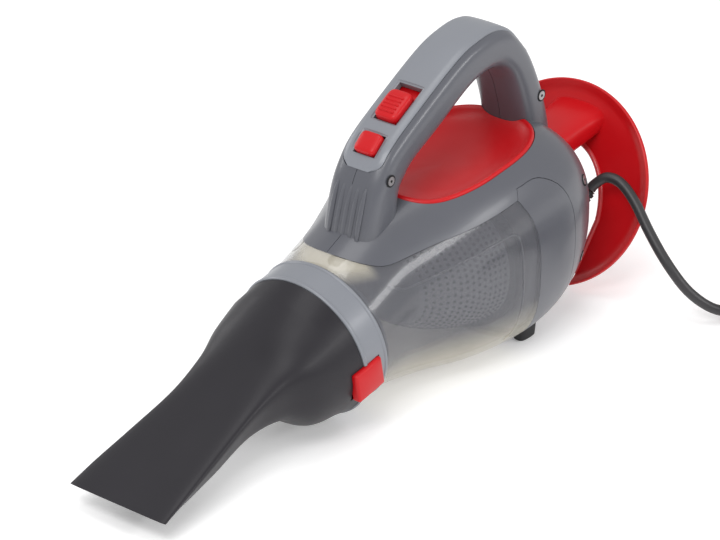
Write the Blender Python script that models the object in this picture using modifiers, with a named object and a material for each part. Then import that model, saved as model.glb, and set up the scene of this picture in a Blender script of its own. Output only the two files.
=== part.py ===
"""A 12 V handheld car vacuum, modelled as the separate pieces that it comes apart into.

Frame: metres, +Z up, the floor at Z = 0. The nose points to -X, the cord end to +X, and the origin lies under
the middle of the vacuum's length. Stations along the length are given in millimetres behind the nozzle's lip.
"""

import math

import bmesh
import bpy
import numpy as np
from mathutils import Matrix, Vector

MM = 0.001
LENGTH = 392.0 * MM  # nozzle lip to the back of the cord flange
GAP = 0.3 * MM  # clearance between pieces that touch
WALL = 2.4 * MM  # wall of every moulded shell
RIM = 32  # points round one section of the body

RING_RADIUS = 41.0 * MM  # light grey band between nozzle and bowl
RING_LENGTH = 18.0 * MM
RING_PITCH = math.radians(11.0)  # how far the band's axis rises to the rear
RING_STATION = 163.0  # rear face of the band, on its axis
RING_HEIGHT = 44.4 * MM  # of the centre of that face

BODY_WIDTH = 114.0 * MM  # widest part of the body
HANDLE_WIDTH = 34.0 * MM
COVER_WIDTH = 26.0 * MM  # light grey strip along the handle
COVER_DEPTH = 4.0 * MM

FAN_RADIUS = 36.0 * MM
FAN_HEIGHT = 57.0 * MM  # height of the motor's axis
MOTOR_RADIUS = 17.8 * MM
MOTOR_LENGTH = 38.0 * MM
SHAFT_RADIUS = 1.6 * MM

FLANGE_RADIUS = 58.4 * MM
FLANGE_STATION = 371.0
FLANGE_HEIGHT = 51.5 * MM
FLANGE_LEAN = math.radians(22.0)
ARCH_HALF_WIDTH = 28.0 * MM  # cut-out in the flange that the cord passes through
ARCH_SPRING = -14.0 * MM  # where its sides start to close, from the flange's middle
ARCH_TOP = 24.0 * MM

CORD_RADIUS = 3.0 * MM
COIL_RADIUS = 37.5 * MM  # to the middle of its turns
COIL_BUNDLE = 16.0 * MM  # half-thickness of the bundle


def station(millimetres):
    """X of a place given in millimetres behind the nozzle's lip."""
    return millimetres * MM - LENGTH / 2


for leftover in list(bpy.data.objects):
    bpy.data.objects.remove(leftover, do_unlink=True)
PARTS = bpy.data.collections.new("handheld_vacuum")
CUTTERS = bpy.data.collections.new("cutters")
bpy.context.scene.collection.children.link(PARTS)
bpy.context.scene.collection.children.link(CUTTERS)


def plastic(name, colour, roughness=0.45, metallic=0.0, alpha=1.0):
    """A Principled material in linear colour."""
    material = bpy.data.materials.new(name)
    material.use_nodes = True
    shader = material.node_tree.nodes["Principled BSDF"]
    shader.inputs["Base Color"].default_value = (*colour, 1.0)
    shader.inputs["Roughness"].default_value = roughness
    shader.inputs["Metallic"].default_value = metallic
    shader.inputs["Alpha"].default_value = alpha
    return material


CHARCOAL = plastic("charcoal_plastic", (0.036, 0.034, 0.042), 0.4)
LIGHT_GREY = plastic("light_grey_plastic", (0.27, 0.29, 0.32), 0.35)
MID_GREY = plastic("mid_grey_plastic", (0.14, 0.145, 0.165), 0.35)
RED = plastic("red_plastic", (0.55, 0.004, 0.009), 0.3)
SMOKE = plastic("smoky_clear_plastic", (0.5, 0.5, 0.52), 0.1, 0.0, 0.4)
WHITE = plastic("white_filter_cloth", (0.8, 0.79, 0.74), 0.9)
BLACK = plastic("black_plastic", (0.02, 0.018, 0.02), 0.5)
SOFT = plastic("black_rubber", (0.018, 0.018, 0.018), 0.8)
STEEL = plastic("steel", (0.55, 0.55, 0.55), 0.3, 1.0)
BRASS = plastic("nickel_plate", (0.7, 0.66, 0.55), 0.25, 1.0)


# ------------------------------------------------------------------ shapes


def as_object(name, mesh, material, collection=PARTS):
    """Puts a mesh in the scene as a named object."""
    obj = bpy.data.objects.new(name, mesh)
    mesh.materials.clear()
    if material:
        mesh.materials.append(material)
    collection.objects.link(obj)
    return obj


def from_bmesh(name, shape, material, collection=PARTS):
    """Turns a closed bmesh into an object with its faces pointing out."""
    bmesh.ops.recalc_face_normals(shape, faces=shape.faces)
    mesh = bpy.data.meshes.new(name)
    shape.to_mesh(mesh)
    shape.free()
    mesh.shade_smooth()
    mesh.set_sharp_from_angle(angle=math.radians(35))
    return as_object(name, mesh, material, collection)


def loft(name, rings, material, closed=False, collection=PARTS):
    """Joins rings of equal count into one solid. A closed loft runs back to its first ring."""
    shape = bmesh.new()
    loops = [[shape.verts.new(point) for point in ring] for ring in rings]
    spans = list(zip(loops, loops[1:]))
    if closed:
        spans.append((loops[-1], loops[0]))
    for near, far in spans:
        for k in range(len(near)):
            n = (k + 1) % len(near)
            shape.faces.new((near[k], near[n], far[n], far[k]))
    if not closed:
        shape.faces.new(loops[0][::-1])
        shape.faces.new(loops[-1])
    return from_bmesh(name, shape, material, collection)


def prism(name, outline, low, high, material=None, axis="Y", collection=CUTTERS):
    """A flat outline carried from low to high along Y, Z or X."""
    place = {
        "Y": lambda u, v, w: (u, w, v),
        "Z": lambda u, v, w: (u, v, w),
        "X": lambda u, v, w: (w, u, v),
    }[axis]
    rings = [[place(u, v, w) for u, v in outline] for w in (low, high)]
    return loft(name, rings, material, collection=collection)


def turned(name, profile, centre, direction, material, sides=28, collection=PARTS):
    """A closed profile of (along, radius) points turned round the axis through centre."""
    towards = Vector(direction).normalized().to_track_quat("Z", "Y").to_matrix()
    shape = bmesh.new()
    columns = []
    for side in range(sides):
        angle = 2 * math.pi * side / sides
        column = []
        for along, radius in profile:
            point = Vector((radius * math.cos(angle), radius * math.sin(angle), along))
            column.append(shape.verts.new(towards @ point))
        columns.append(column)
    for side in range(sides):
        here = columns[side]
        beyond = columns[(side + 1) % sides]
        for k in range(len(profile)):
            n = (k + 1) % len(profile)
            shape.faces.new((here[k], here[n], beyond[n], beyond[k]))
    bmesh.ops.remove_doubles(shape, verts=shape.verts, dist=0.01 * MM)
    bmesh.ops.dissolve_degenerate(shape, edges=shape.edges, dist=0.001 * MM)
    obj = from_bmesh(name, shape, material, collection)
    obj.location = centre
    return obj


def box(name, centre, size, material, radius=0.0, collection=PARTS):
    """A box with rounded edges."""
    shape = bmesh.new()
    bmesh.ops.create_cube(shape, size=1.0, matrix=Matrix.Diagonal((*size, 1.0)))
    obj = from_bmesh(name, shape, material, collection)
    obj.location = centre
    if radius:
        bevel = obj.modifiers.new("rounded", "BEVEL")
        bevel.width = radius
        bevel.segments = 2
        bevel.harden_normals = False
    return obj


def boolean(obj, cutter, operation="DIFFERENCE"):
    """Cuts, joins or trims an object with a hidden helper."""
    modifier = obj.modifiers.new(operation.lower() + "_" + cutter.name, "BOOLEAN")
    modifier.operation = operation
    modifier.solver = "EXACT"
    modifier.object = cutter
    cutter.hide_render = True
    cutter.display_type = "WIRE"
    return obj


def superellipse(half_width, half_height, power, count=RIM):
    """Points round an oval whose corners fill out as the power rises above 2."""
    points = []
    for k in range(count):
        angle = 2 * math.pi * (k + 0.5) / count
        c, s = math.cos(angle), math.sin(angle)
        y = half_width * math.copysign(abs(c) ** (2 / power), c)
        z = half_height * math.copysign(abs(s) ** (2 / power), s)
        points.append((y, z))
    return points


def smooth(points, steps=6):
    """A Catmull-Rom curve through points, ends included."""
    points = [np.array(point, float) for point in points]
    ends = [2 * points[0] - points[1]] + points + [2 * points[-1] - points[-2]]
    curve = []
    for a, b, c, d in zip(ends, ends[1:], ends[2:], ends[3:]):
        for t in np.arange(steps) / steps:
            cubic = (3 * b - a - 3 * c + d) * t**3 + (2 * a - 5 * b + 4 * c - d) * t**2
            curve.append(0.5 * (cubic + (c - a) * t + 2 * b))
    curve.append(points[-1])
    return [tuple(point) for point in curve]


# ------------------------------------------------------------------ body shell

# station, half width, bottom, top (mm), fullness of the upper and lower corners, lean in degrees
BODY = [
    (163.7, 40.6, 3.8, 85.0, 2.0, 2.0, 11.0),
    (177.0, 41.2, 3.4, 91.5, 2.0, 2.05, 8.0),
    (192.0, 42.5, 2.6, 99.0, 2.0, 2.2, 5.0),
    (210.0, 47.5, 3.4, 106.5, 2.1, 2.6, 2.0),
    (232.0, 53.5, 3.2, 114.0, 2.4, 3.2, 0.0),
    (256.0, 56.4, 3.0, 117.0, 2.6, 3.6, 0.0),
    (280.0, 57.0, 3.0, 118.0, 2.7, 3.6, 0.0),
    (302.0, 56.0, 5.0, 116.5, 2.7, 3.2, 0.0),
    (319.0, 52.5, 10.0, 113.0, 2.6, 2.8, 0.0),
    (333.0, 46.0, 18.0, 105.0, 2.5, 2.5, 0.0),
    (343.5, 36.0, 29.0, 94.0, 2.2, 2.2, 0.0),
    (350.0, 24.0, 40.0, 81.0, 2.1, 2.1, 0.0),
    (352.5, 11.0, 52.0, 70.0, 2.0, 2.0, 0.0),
]


def body_ring(row, inset=0.0):
    """One section of the body's outside, or of a surface inset from it."""
    along, half_width, low, high, upper, lower, lean = row
    centre = (low + high) / 2 * MM
    half_height = (high - low) / 2 * MM - inset
    lean = math.radians(lean)
    points = []
    above = superellipse(half_width * MM - inset, half_height, upper)
    below = superellipse(half_width * MM - inset, half_height, lower)
    for top, bottom in zip(above, below):
        y, h = top if top[1] > 0 else bottom
        points.append((station(along) - h * math.sin(lean), y, centre + h * math.cos(lean)))
    return points


def body_row(along):
    """The body's section at any station, read between the listed ones."""
    return [float(np.interp(along, [row[0] for row in BODY], column)) for column in zip(*BODY)]


def body_cup(name):
    """The whole body as one open-fronted shell, which the regions below divide."""
    outer = [body_ring(row) for row in BODY]
    inner = [body_ring(row, WALL) for row in BODY[:-2]]
    inner[0] = [(x - 0.5 * MM, y, z) for x, y, z in inner[0]]
    back = [(x - WALL, y, z) for x, y, z in body_ring(BODY[-2], WALL)]
    return loft(name, outer[::-1] + inner + [back], None, collection=CUTTERS)


def outline(points):
    return [(station(along), height * MM) for along, height in points]


def grown(points, distance):
    """A closed outline moved outwards by a distance."""
    points = [Vector(point) for point in points]
    area = sum(a.x * b.y - b.x * a.y for a, b in zip(points, points[1:] + points[:1]))
    side = math.copysign(1, area)
    moved = []
    for before, here, after in zip(points[-1:] + points[:-1], points, points[1:] + points[:1]):
        first = (here - before).normalized()
        second = (after - here).normalized()
        normal = Vector((first.y + second.y, -first.x - second.x)).normalized() * side
        spread = max(0.5, normal.dot(Vector((first.y, -first.x)) * side))
        moved.append(tuple(here + normal * distance / spread))
    return moved


LIP_LINE = smooth([(163, 88.5), (172, 84.5), (182, 83), (200, 86), (228, 91), (252, 94.5), (262, 96)], 3)
BOWL_EDGE = smooth([(262, 96), (270, 80), (274, 60), (274, 30), (271, -4)], 4)
BELLY_SEAM = smooth([(265, 101), (283, 101), (299, 90), (307, 68), (307, 40), (301, -4)], 4)

BOWL_REGION = outline([(130, 88.5)] + LIP_LINE + BOWL_EDGE[1:] + [(130, -4)])
BELLY_REGION = outline(BOWL_EDGE + BELLY_SEAM[::-1])
LOWER_REGION = outline([(130, 88.5)] + LIP_LINE + BELLY_SEAM + [(130, -4)])


def region(name, points, growth):
    return prism(name, grown(points, growth), -BODY_WIDTH, BODY_WIDTH)


def dust_bowl():
    bowl = body_cup("dust_bowl")
    boolean(bowl, region("bowl_region", BOWL_REGION, -GAP / 2), "INTERSECT")
    return show(bowl, SMOKE)


def belly_cover():
    """The band under the body between the bowl's edge and the arc seam."""
    cover = body_cup("belly_cover")
    boolean(cover, region("belly_region", BELLY_REGION, -GAP / 2), "INTERSECT")
    return show(cover, MID_GREY)


def show(obj, material):
    """Moves an object from the helpers to the parts."""
    CUTTERS.objects.unlink(obj)
    PARTS.objects.link(obj)
    obj.hide_render = False
    obj.display_type = "TEXTURED"
    obj.data.materials.clear()
    obj.data.materials.append(material)
    return obj


# ------------------------------------------------------------------ handle

# outer point and matching inner point of the handle's side view, (station, height) in mm
HANDLE = [
    ((176.0, 84.0), (208.0, 84.0)),
    ((177.5, 96.0), (207.0, 97.0)),
    ((183.0, 114.0), (208.0, 112.0)),
    ((189.5, 126.5), (212.5, 118.5)),
    ((201.0, 139.0), (219.5, 124.5)),
    ((226.0, 154.0), (238.5, 134.0)),
    ((256.0, 169.5), (262.0, 147.0)),
    ((273.0, 174.5), (275.0, 151.5)),
    ((289.0, 175.5), (288.0, 152.0)),
    ((303.0, 170.0), (296.5, 148.0)),
    ((318.0, 154.0), (303.0, 140.0)),
    ((330.0, 131.0), (308.5, 126.0)),
    ((337.0, 111.0), (312.0, 112.0)),
    ((341.0, 94.0), (314.0, 94.0)),
]


def handle_sections(inset=0.0):
    """Rings round the handle, each square across its side view."""
    rings = []
    for outer, inner in HANDLE:
        a = Vector((station(outer[0]), 0, outer[1] * MM))
        b = Vector((station(inner[0]), 0, inner[1] * MM))
        along = (a - b) / 2
        reach = along.length - inset
        half_width = HANDLE_WIDTH / 2 - inset
        ring = []
        for y, h in superellipse(half_width, reach, 3.4, 28):
            ring.append((a + b) / 2 + along.normalized() * h + Vector((0, y, 0)))
        rings.append(ring)
    return rings


def handle_face(first, last, depth, width, growth=0.0, rise=0.4 * MM, steps=4):
    """A strip along the handle's top, from rise above the handle's outer line to depth below it."""
    outer = smooth([np.array(pair[0]) for pair in HANDLE[first:last]], steps)
    inner = smooth([np.array(pair[1]) for pair in HANDLE[first:last]], steps)
    rings = []
    for top, bottom in zip(outer, inner):
        a = Vector((station(top[0]), 0, top[1] * MM))
        b = Vector((station(bottom[0]), 0, bottom[1] * MM))
        down = (b - a).normalized()
        high = a - down * rise
        low = a + down * (depth + growth)
        y = Vector((0, width / 2 + growth, 0))
        crown = high - down * 0.5 * MM
        rings.append([high - y, high - y * 0.45 - down * 0.4 * MM, crown + y * 0.45, high + y, low + y, low - y])
    return rings


def on_handle(along):
    """Place on the handle's outer line, and the direction out of it, at a station."""
    line = smooth([np.array(pair[0]) for pair in HANDLE[3:9]], 8)
    for here, beyond in zip(line, line[1:]):
        if here[0] <= along <= beyond[0]:
            t = (along - here[0]) / (beyond[0] - here[0])
            height = here[1] + t * (beyond[1] - here[1])
            run = Vector((beyond[0] - here[0], 0, beyond[1] - here[1])).normalized()
            return Vector((station(along), 0, height * MM)), Vector((-run.z, 0, run.x))
    return None


def housing():
    """Upper body, handle and rear end, made as two mirrored halves that meet at the middle."""
    halves = []
    core_rings = handle_sections(3.4 * MM)
    for side, name in ((-1, "housing_right"), (1, "housing_left")):
        half = body_cup(name)
        boolean(half, region(name + "_lower", LOWER_REGION, GAP / 2))
        boolean(half, deck_solid(name + "_deck_seat", GAP, None, CUTTERS))
        grip = loft(name + "_grip", handle_sections(), None, collection=CUTTERS)
        inside = loft(name + "_inside", [body_ring(row, WALL / 2) for row in BODY[:-1]], None, collection=CUTTERS)
        boolean(grip, inside)
        boolean(half, grip, "UNION")
        boolean(half, loft(name + "_core", core_rings, None, collection=CUTTERS))
        cover = loft(name + "_cover_seat", handle_face(3, 11, COVER_DEPTH, COVER_WIDTH, GAP, 6 * MM), None,
                     collection=CUTTERS)
        boolean(half, cover)
        near = GAP / 2 if side > 0 else -BODY_WIDTH
        far = BODY_WIDTH if side > 0 else -GAP / 2
        whole = [(station(100), -20 * MM), (station(400), -20 * MM), (station(400), 200 * MM),
                 (station(100), 200 * MM)]
        boolean(half, prism(name + "_side", whole, near, far), "INTERSECT")
        show(half, MID_GREY)
        halves.append(half)
    return halves


def handle_cover():
    cover = loft("handle_cover", handle_face(3, 11, COVER_DEPTH, COVER_WIDTH), LIGHT_GREY)
    return cover


# ------------------------------------------------------------------ deck

DECK_MIDDLE = 263.0
DECK_HALF_LENGTH = 54.5
DECK_HALF_WIDTH = 38.0
DECK_BASE = 100.0


def body_top(along, y):
    """Height of the body's outside at a station and a distance from its middle plane, in mm."""
    _, half_width, low, high, upper, _, _ = body_row(along)
    share = (1 - (abs(y) / half_width) ** upper) ** (1 / upper)
    return (low + high) / 2 + (high - low) / 2 * share


def deck_ring(scale, drop, growth=0.0, base=None):
    """An oval inside the deck's outline, at a drop below the body's outside under the outline."""
    ring = []
    rim = superellipse(DECK_HALF_WIDTH, DECK_HALF_LENGTH, 2.5)
    for (y, u), (far_y, far_u) in zip(superellipse(DECK_HALF_WIDTH * scale + growth, DECK_HALF_LENGTH * scale + growth,
                                                   2.5), rim):
        height = base if base is not None else body_top(DECK_MIDDLE + far_u, far_y) - drop
        ring.append((station(DECK_MIDDLE + u), y * MM, height * MM))
    return ring


def deck_solid(name, growth, material, collection):
    """Scooped red tray under the handle, with a raised lip round it."""
    if growth:
        rings = [deck_ring(1.0, 0, growth / MM, DECK_BASE - growth / MM), deck_ring(1.0, 0, growth / MM, 124.0)]
    else:
        rings = [deck_ring(0.4, 6.0), deck_ring(0.72, 4.6), deck_ring(0.90, 1.0), deck_ring(0.96, -1.2)]
        rings += [deck_ring(1.0, -0.4), deck_ring(1.0, 0, 0, DECK_BASE), deck_ring(0.86, 0, 0, DECK_BASE)]
        rings += [deck_ring(0.8, 8.0), deck_ring(0.4, 8.6)]
    return loft(name, rings, material, collection=collection)


def deck():
    """The tray, notched at both ends for the feet of the handle."""
    tray = deck_solid("deck", 0.0, RED, PARTS)
    boolean(tray, loft("deck_notch", handle_sections(-GAP), None, collection=CUTTERS))
    return tray


# ------------------------------------------------------------------ nozzle and ring

RING_AXIS = Vector((math.cos(RING_PITCH), 0.0, math.sin(RING_PITCH)))
RING_CENTRE = Vector((station(RING_STATION), 0.0, RING_HEIGHT))

# Station and height of the middle, half width, half height across the section (mm), fullness, lean in degrees,
# and how much narrower the section's bottom is than its top.
NOZZLE = [
    (5.2, 10.8, 33.8, 6.0, 6.0, 60.0, 0.3),
    (22.0, 15.5, 32.4, 7.0, 6.0, 45.0, 0.28),
    (45.0, 22.0, 30.0, 8.2, 5.5, 30.0, 0.25),
    (75.0, 31.5, 27.2, 9.6, 5.0, 18.0, 0.2),
    (98.0, 37.0, 29.5, 16.5, 3.4, 14.0, 0.1),
    (116.0, 37.0, 36.0, 29.0, 2.5, 12.0, 0.0),
    (133.0, 40.2, 40.0, 36.0, 2.15, 11.0, 0.0),
]


def nozzle_ring(row, inset=0.0):
    along, height, half_width, half_height, power, lean, taper = row
    lean = math.radians(lean)
    half_height = half_height * MM - inset
    ring = []
    for y, h in superellipse(half_width * MM - inset, half_height, power):
        y *= 1 - taper * (1 - h / half_height) / 2
        ring.append((station(along) - h * math.sin(lean), y, height * MM + h * math.cos(lean)))
    return ring


def axis_ring(along, radius):
    """A circle round the ring's axis, at a distance along it from the ring's rear face."""
    centre = RING_CENTRE + RING_AXIS * along
    up = Vector((-RING_AXIS.z, 0, RING_AXIS.x))
    return [centre + up * h + Vector((0, y, 0)) for y, h in superellipse(radius, radius, 2.0)]


def nozzle():
    """Spout with a slanted mouth, ending in a spigot that plugs into the ring."""
    front = -RING_LENGTH - GAP
    spigot = RING_RADIUS - 3.6 * MM
    outer = [nozzle_ring(row) for row in NOZZLE]
    outer += [axis_ring(front, RING_RADIUS - 0.4 * MM), axis_ring(front, spigot), axis_ring(-10.5 * MM, spigot)]
    inner = [axis_ring(-10.5 * MM, spigot - WALL), axis_ring(front, spigot - WALL)]
    inner += [nozzle_ring(row, WALL) for row in NOZZLE[::-1]]
    return loft("nozzle", outer + inner, CHARCOAL, closed=True)


def bowl_ring():
    """Band between nozzle and bowl, with a bead at each edge and a spigot into the bowl."""
    outer = RING_RADIUS
    bead = RING_RADIUS + 0.6 * MM
    socket = RING_RADIUS - 3.2 * MM
    plug = RING_RADIUS - 3.2 * MM
    bore = plug - WALL
    start = -RING_LENGTH
    profile = [(start, bead), (start + 1.6 * MM, bead), (start + 2.2 * MM, outer), (-2.2 * MM, outer)]
    profile += [(-1.6 * MM, bead), (0, bead), (0, plug), (5 * MM, plug), (5 * MM, bore), (-10 * MM, bore)]
    profile += [(-10 * MM, socket), (start, socket)]
    return turned("bowl_ring", profile, RING_CENTRE, RING_AXIS, LIGHT_GREY, 32)


LATCH_SIZE = (21 * MM, 5.4 * MM, 17 * MM)


def latch(side, name, mates):
    """Red button in a window through the ring and the nozzle, pressed in to free the nozzle."""
    middle = RING_CENTRE - RING_AXIS * 15.5 * MM + Vector((0, side * 40.2 * MM, -6.5 * MM))
    pad = box(name, middle, LATCH_SIZE, RED, 1.4 * MM)
    pad.rotation_euler = (0, -RING_PITCH, 0)
    window = [size + 2 * GAP for size in LATCH_SIZE]
    window[1] = 16 * MM
    hole = box(name + "_window", middle + Vector((0, side * 1 * MM, 0)), window, None, collection=CUTTERS)
    hole.rotation_euler = pad.rotation_euler
    for mate in mates:
        boolean(mate, hole)
    return pad


# ------------------------------------------------------------------ inlet flap, filter and bowl catch


def inlet_parts():
    """Plate with the inlet hole, and the rubber flap that hangs behind it on a pin."""
    plate = turned(
        "inlet_plate",
        [(-4.5 * MM, 35.0 * MM), (-2.5 * MM, 35.0 * MM), (-2.5 * MM, 15.0 * MM), (-4.5 * MM, 15.0 * MM)],
        RING_CENTRE, RING_AXIS, BLACK, 32)
    up = Vector((-RING_AXIS.z, 0, RING_AXIS.x))
    hinge = RING_CENTRE + up * 21.0 * MM + RING_AXIS * 0.6 * MM
    pin = turned("flap_pin", [(-17 * MM, 0), (17 * MM, 0), (17 * MM, 1.0 * MM), (-17 * MM, 1.0 * MM)][::-1],
                 hinge, (0, 1, 0), STEEL, 12)
    for side in (-1, 1):
        ear = box("ear", hinge + Vector((-2.0 * MM, side * 18.2 * MM, 0)), (6.4 * MM, 2.0 * MM, 6 * MM), None,
                  collection=CUTTERS)
        ear.rotation_euler = (0, -RING_PITCH, 0)
        boolean(plate, ear, "UNION")
    flap = box("flap_valve", hinge - up * 19.0 * MM, (1.6 * MM, 31 * MM, 41 * MM), SOFT, 0.0)
    flap.rotation_euler = (0, -RING_PITCH, 0)
    bore = turned("flap_bore", [(-20 * MM, 1.3 * MM), (-20 * MM, 0), (20 * MM, 0), (20 * MM, 1.3 * MM)],
                  hinge, (0, 1, 0), None, 12, CUTTERS)
    knuckle = turned("flap_knuckle", [(-15 * MM, 2.3 * MM), (-15 * MM, 0), (15 * MM, 0), (15 * MM, 2.3 * MM)],
                     hinge, (0, 1, 0), None, 14, CUTTERS)
    boolean(flap, knuckle, "UNION")
    boolean(flap, bore)
    return plate, pin, flap, hinge


FILTER_FRONT = 211.0
FRAME_FRONT = 262.0
FRAME_REAR = 267.5


def scaled_section(along, width, height, lift, count=RIM):
    """An upright oval section on the filter's own centre line."""
    ring = []
    for y, z in superellipse(width * MM, height * MM, 2.2, count):
        ring.append((station(along), y, (lift * MM + z)))
    return ring


def cage_profile(along):
    """Half width, half height and centre height of the cage at a station, in mm."""
    t = (along - FILTER_FRONT) / (FRAME_REAR - FILTER_FRONT)
    swell = math.sin(min(t, 1.0) * math.pi / 2) ** 0.8
    return 24.0 + 22.0 * swell, 19.0 + 19.0 * swell, 49.0 + 1.5 * t


def filter_cup(name, front, rear, inset, wall, material):
    """A cup on the filter's centre line: closed at its front, open at its rear."""
    stops = [front + (rear - front) * part for part in (0.0, 0.1, 0.25, 0.5, 0.75, 1.0)]
    outer = []
    inner = []
    for along in stops:
        width, height, lift = cage_profile(along)
        outer.append(scaled_section(along, width - inset, height - inset, lift, 32))
        inner.append(scaled_section(along, width - inset - wall, height - inset - wall, lift, 32))
    width, height, lift = cage_profile(front)
    nose = scaled_section(front - 3, width - inset - 6, height - inset - 6, lift, 32)
    inner[0] = scaled_section(front + wall, width - inset - wall - 1, height - inset - wall - 1, lift, 32)
    return loft(name, inner + outer[::-1] + [nose], material)


def filter_parts():
    """Cage, pleated cloth cup and the frame that carries both, with the seal behind it."""
    cage = filter_cup("prefilter_cage", FILTER_FRONT, FRAME_FRONT - 0.3, 0.0, 1.8, MID_GREY)
    cloth = filter_cup("pleated_filter", FILTER_FRONT + 8, FRAME_FRONT - 0.3, 6.5, 3.5, WHITE)
    rings = []
    for along, width, height in ((FRAME_FRONT, 50, 42), (FRAME_REAR, 50, 42), (FRAME_REAR, 36, 29), (FRAME_FRONT, 36, 29)):
        rings.append(scaled_section(along, width, height, 50.5))
    frame = loft("filter_frame", rings, BLACK, closed=True)
    rings = []
    for along, width, height in ((0.3, 46, 38), (3.0, 46, 38), (3.0, 41, 33), (0.3, 41, 33)):
        rings.append(scaled_section(FRAME_REAR + along, width, height, 50.5))
    seal = loft("filter_seal", rings, SOFT, closed=True)
    return cage, cloth, frame, seal


def bar(name, points, half_width, half_height, material, collection=PARTS):
    """A straight-sided bar along points in the middle plane."""
    rings = []
    places = [Vector((station(along), 0, height * MM)) for along, height in points]
    for k, place in enumerate(places):
        run = (places[min(k + 1, len(places) - 1)] - places[max(k - 1, 0)]).normalized()
        up = Vector((-run.z, 0, run.x)) * half_height
        y = Vector((0, half_width, 0))
        rings.append([place + up - y, place + up + y, place - up + y, place - up - y])
    return loft(name, rings, material, collection=collection)


def bowl_catch():
    """Hook behind the bowl's top edge, on a stem that the release button pushes down the strut."""
    return bar("bowl_catch", [(199, 122), (193, 112), (187, 98), (181, 87), (176, 82), (169, 80)], 3 * MM, 1.8 * MM,
               BLACK)


# ------------------------------------------------------------------ motor and fan


def across(name, near, far, bore, material, top=94.0, inset=WALL + 2 * GAP):
    """A plate that fills the body between two stations, with a round hole on the motor's axis."""
    plate = loft(name, [body_ring(body_row(along), inset) for along in (near, far)], material)
    roof = [(-80 * MM, -10 * MM), (80 * MM, -10 * MM), (80 * MM, top * MM), (-80 * MM, top * MM)]
    boolean(plate, prism(name + "_limit", roof, station(near - 5), station(far + 5), None, "X"), "INTERSECT")
    boolean(plate, rod(name + "_bore", near - 3, far + 3, bore, None, CUTTERS))
    return plate


def rod(name, near, far, radius, material, collection=PARTS, bore=0.0, sides=28):
    """A cylinder or a tube on the motor's axis."""
    start, stop = 0.0, (far - near) * MM
    profile = [(start, radius), (stop, radius), (stop, bore), (start, bore)]
    return turned(name, profile, (station(near), 0, FAN_HEIGHT), (1, 0, 0), material, sides, collection)


def impeller():
    """Backward-leaning blades on a disc, with a hub on the shaft."""
    fan = rod("impeller", 290.0, 291.6, FAN_RADIUS, BLACK, sides=36)
    boolean(fan, rod("hub", 281.0, 291.0, 6 * MM, None, CUTTERS, sides=18), "UNION")
    for k in range(9):
        turn = 2 * math.pi * k / 9
        blade = box("blade", (station(286.0), 0, FAN_HEIGHT), (9.4 * MM, 29 * MM, 1.4 * MM), None, 0.0, CUTTERS)
        blade.data.transform(Matrix.Translation((0, 19.5 * MM, 0)) @ Matrix.Rotation(0.45, 4, "X"))
        blade.rotation_euler = (turn, 0, 0)
        boolean(fan, blade, "UNION")
    boolean(fan, rod("hub_bore", 275.0, 300.0, SHAFT_RADIUS + GAP, None, CUTTERS, sides=14))
    return fan


def motor_parts():
    across("motor_bulkhead", 275.0, 277.5, 20 * MM, BLACK)
    across("motor_plate", 294.5, 297.0, 5 * MM, BLACK, 99.0)
    impeller()
    rod("motor_shaft", 279.0, 302.0, SHAFT_RADIUS, STEEL, sides=14)
    can = rod("motor_can", 297.4, 297.4 + MOTOR_LENGTH / MM, MOTOR_RADIUS, STEEL)
    boolean(can, rod("bearing_bore", 295.0, 304.0, SHAFT_RADIUS + GAP, None, CUTTERS, sides=14))
    end = rod("motor_end_cap", 297.7 + MOTOR_LENGTH / MM, 300.0 + MOTOR_LENGTH / MM, MOTOR_RADIUS - 1 * MM, BLACK)
    return can, end


# ------------------------------------------------------------------ controls


def tilted(obj, along, depth):
    """Sets an object on the handle's top at a station, its Z out of the surface and its X up the slope."""
    place, out = on_handle(along)
    obj.location = place - out * depth
    obj.rotation_euler = (0, math.atan2(out.x, out.z), 0)
    return obj


BUTTON_STATION = 199.0
SWITCH_STATION = 220.0
SWITCH_TRAVEL = 6.0 * MM


def controls(cover):
    """Release button and slide switch in their windows, the block under the switch and the button's spring."""
    button = tilted(box("release_button", (0, 0, 0), (12.5 * MM, 13.5 * MM, 8 * MM), RED, 1.5 * MM),
                    BUTTON_STATION, 2.0 * MM)
    boolean(cover, tilted(box("button_window", (0, 0, 0), (13.1 * MM, 14.1 * MM, 20 * MM), None, 0, CUTTERS),
                          BUTTON_STATION, 0.0))
    switch = tilted(box("power_switch", (0, 0, 0), (19 * MM, 14.5 * MM, 7 * MM), RED, 1.5 * MM), SWITCH_STATION,
                    0.5 * MM)
    slot = box("switch_window", (0, 0, 0), (19.6 * MM + SWITCH_TRAVEL, 15.1 * MM, 20 * MM), None, 0, CUTTERS)
    slot.data.transform(Matrix.Translation((SWITCH_TRAVEL / 2, 0, 0)))
    boolean(cover, tilted(slot, SWITCH_STATION, 0.0))
    tilted(box("switch_block", (0, 0, 0), (26 * MM, 12 * MM, 9 * MM), BLACK, 0.6 * MM), SWITCH_STATION + 5,
           11.6 * MM)
    place, out = on_handle(BUTTON_STATION)
    sleeve = [(0, 3.6 * MM), (4.5 * MM, 3.6 * MM), (4.5 * MM, 2.6 * MM), (0, 2.6 * MM)]
    turned("button_spring", sleeve, place - out * 11.0 * MM, out, STEEL, 16)
    return button, switch


# ------------------------------------------------------------------ cord flange and feet


def body_mass(name, inset):
    """The body's outside as a solid, which its outer fittings are cut to."""
    return loft(name, [body_ring(row, inset) for row in BODY], None, collection=CUTTERS)


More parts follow.
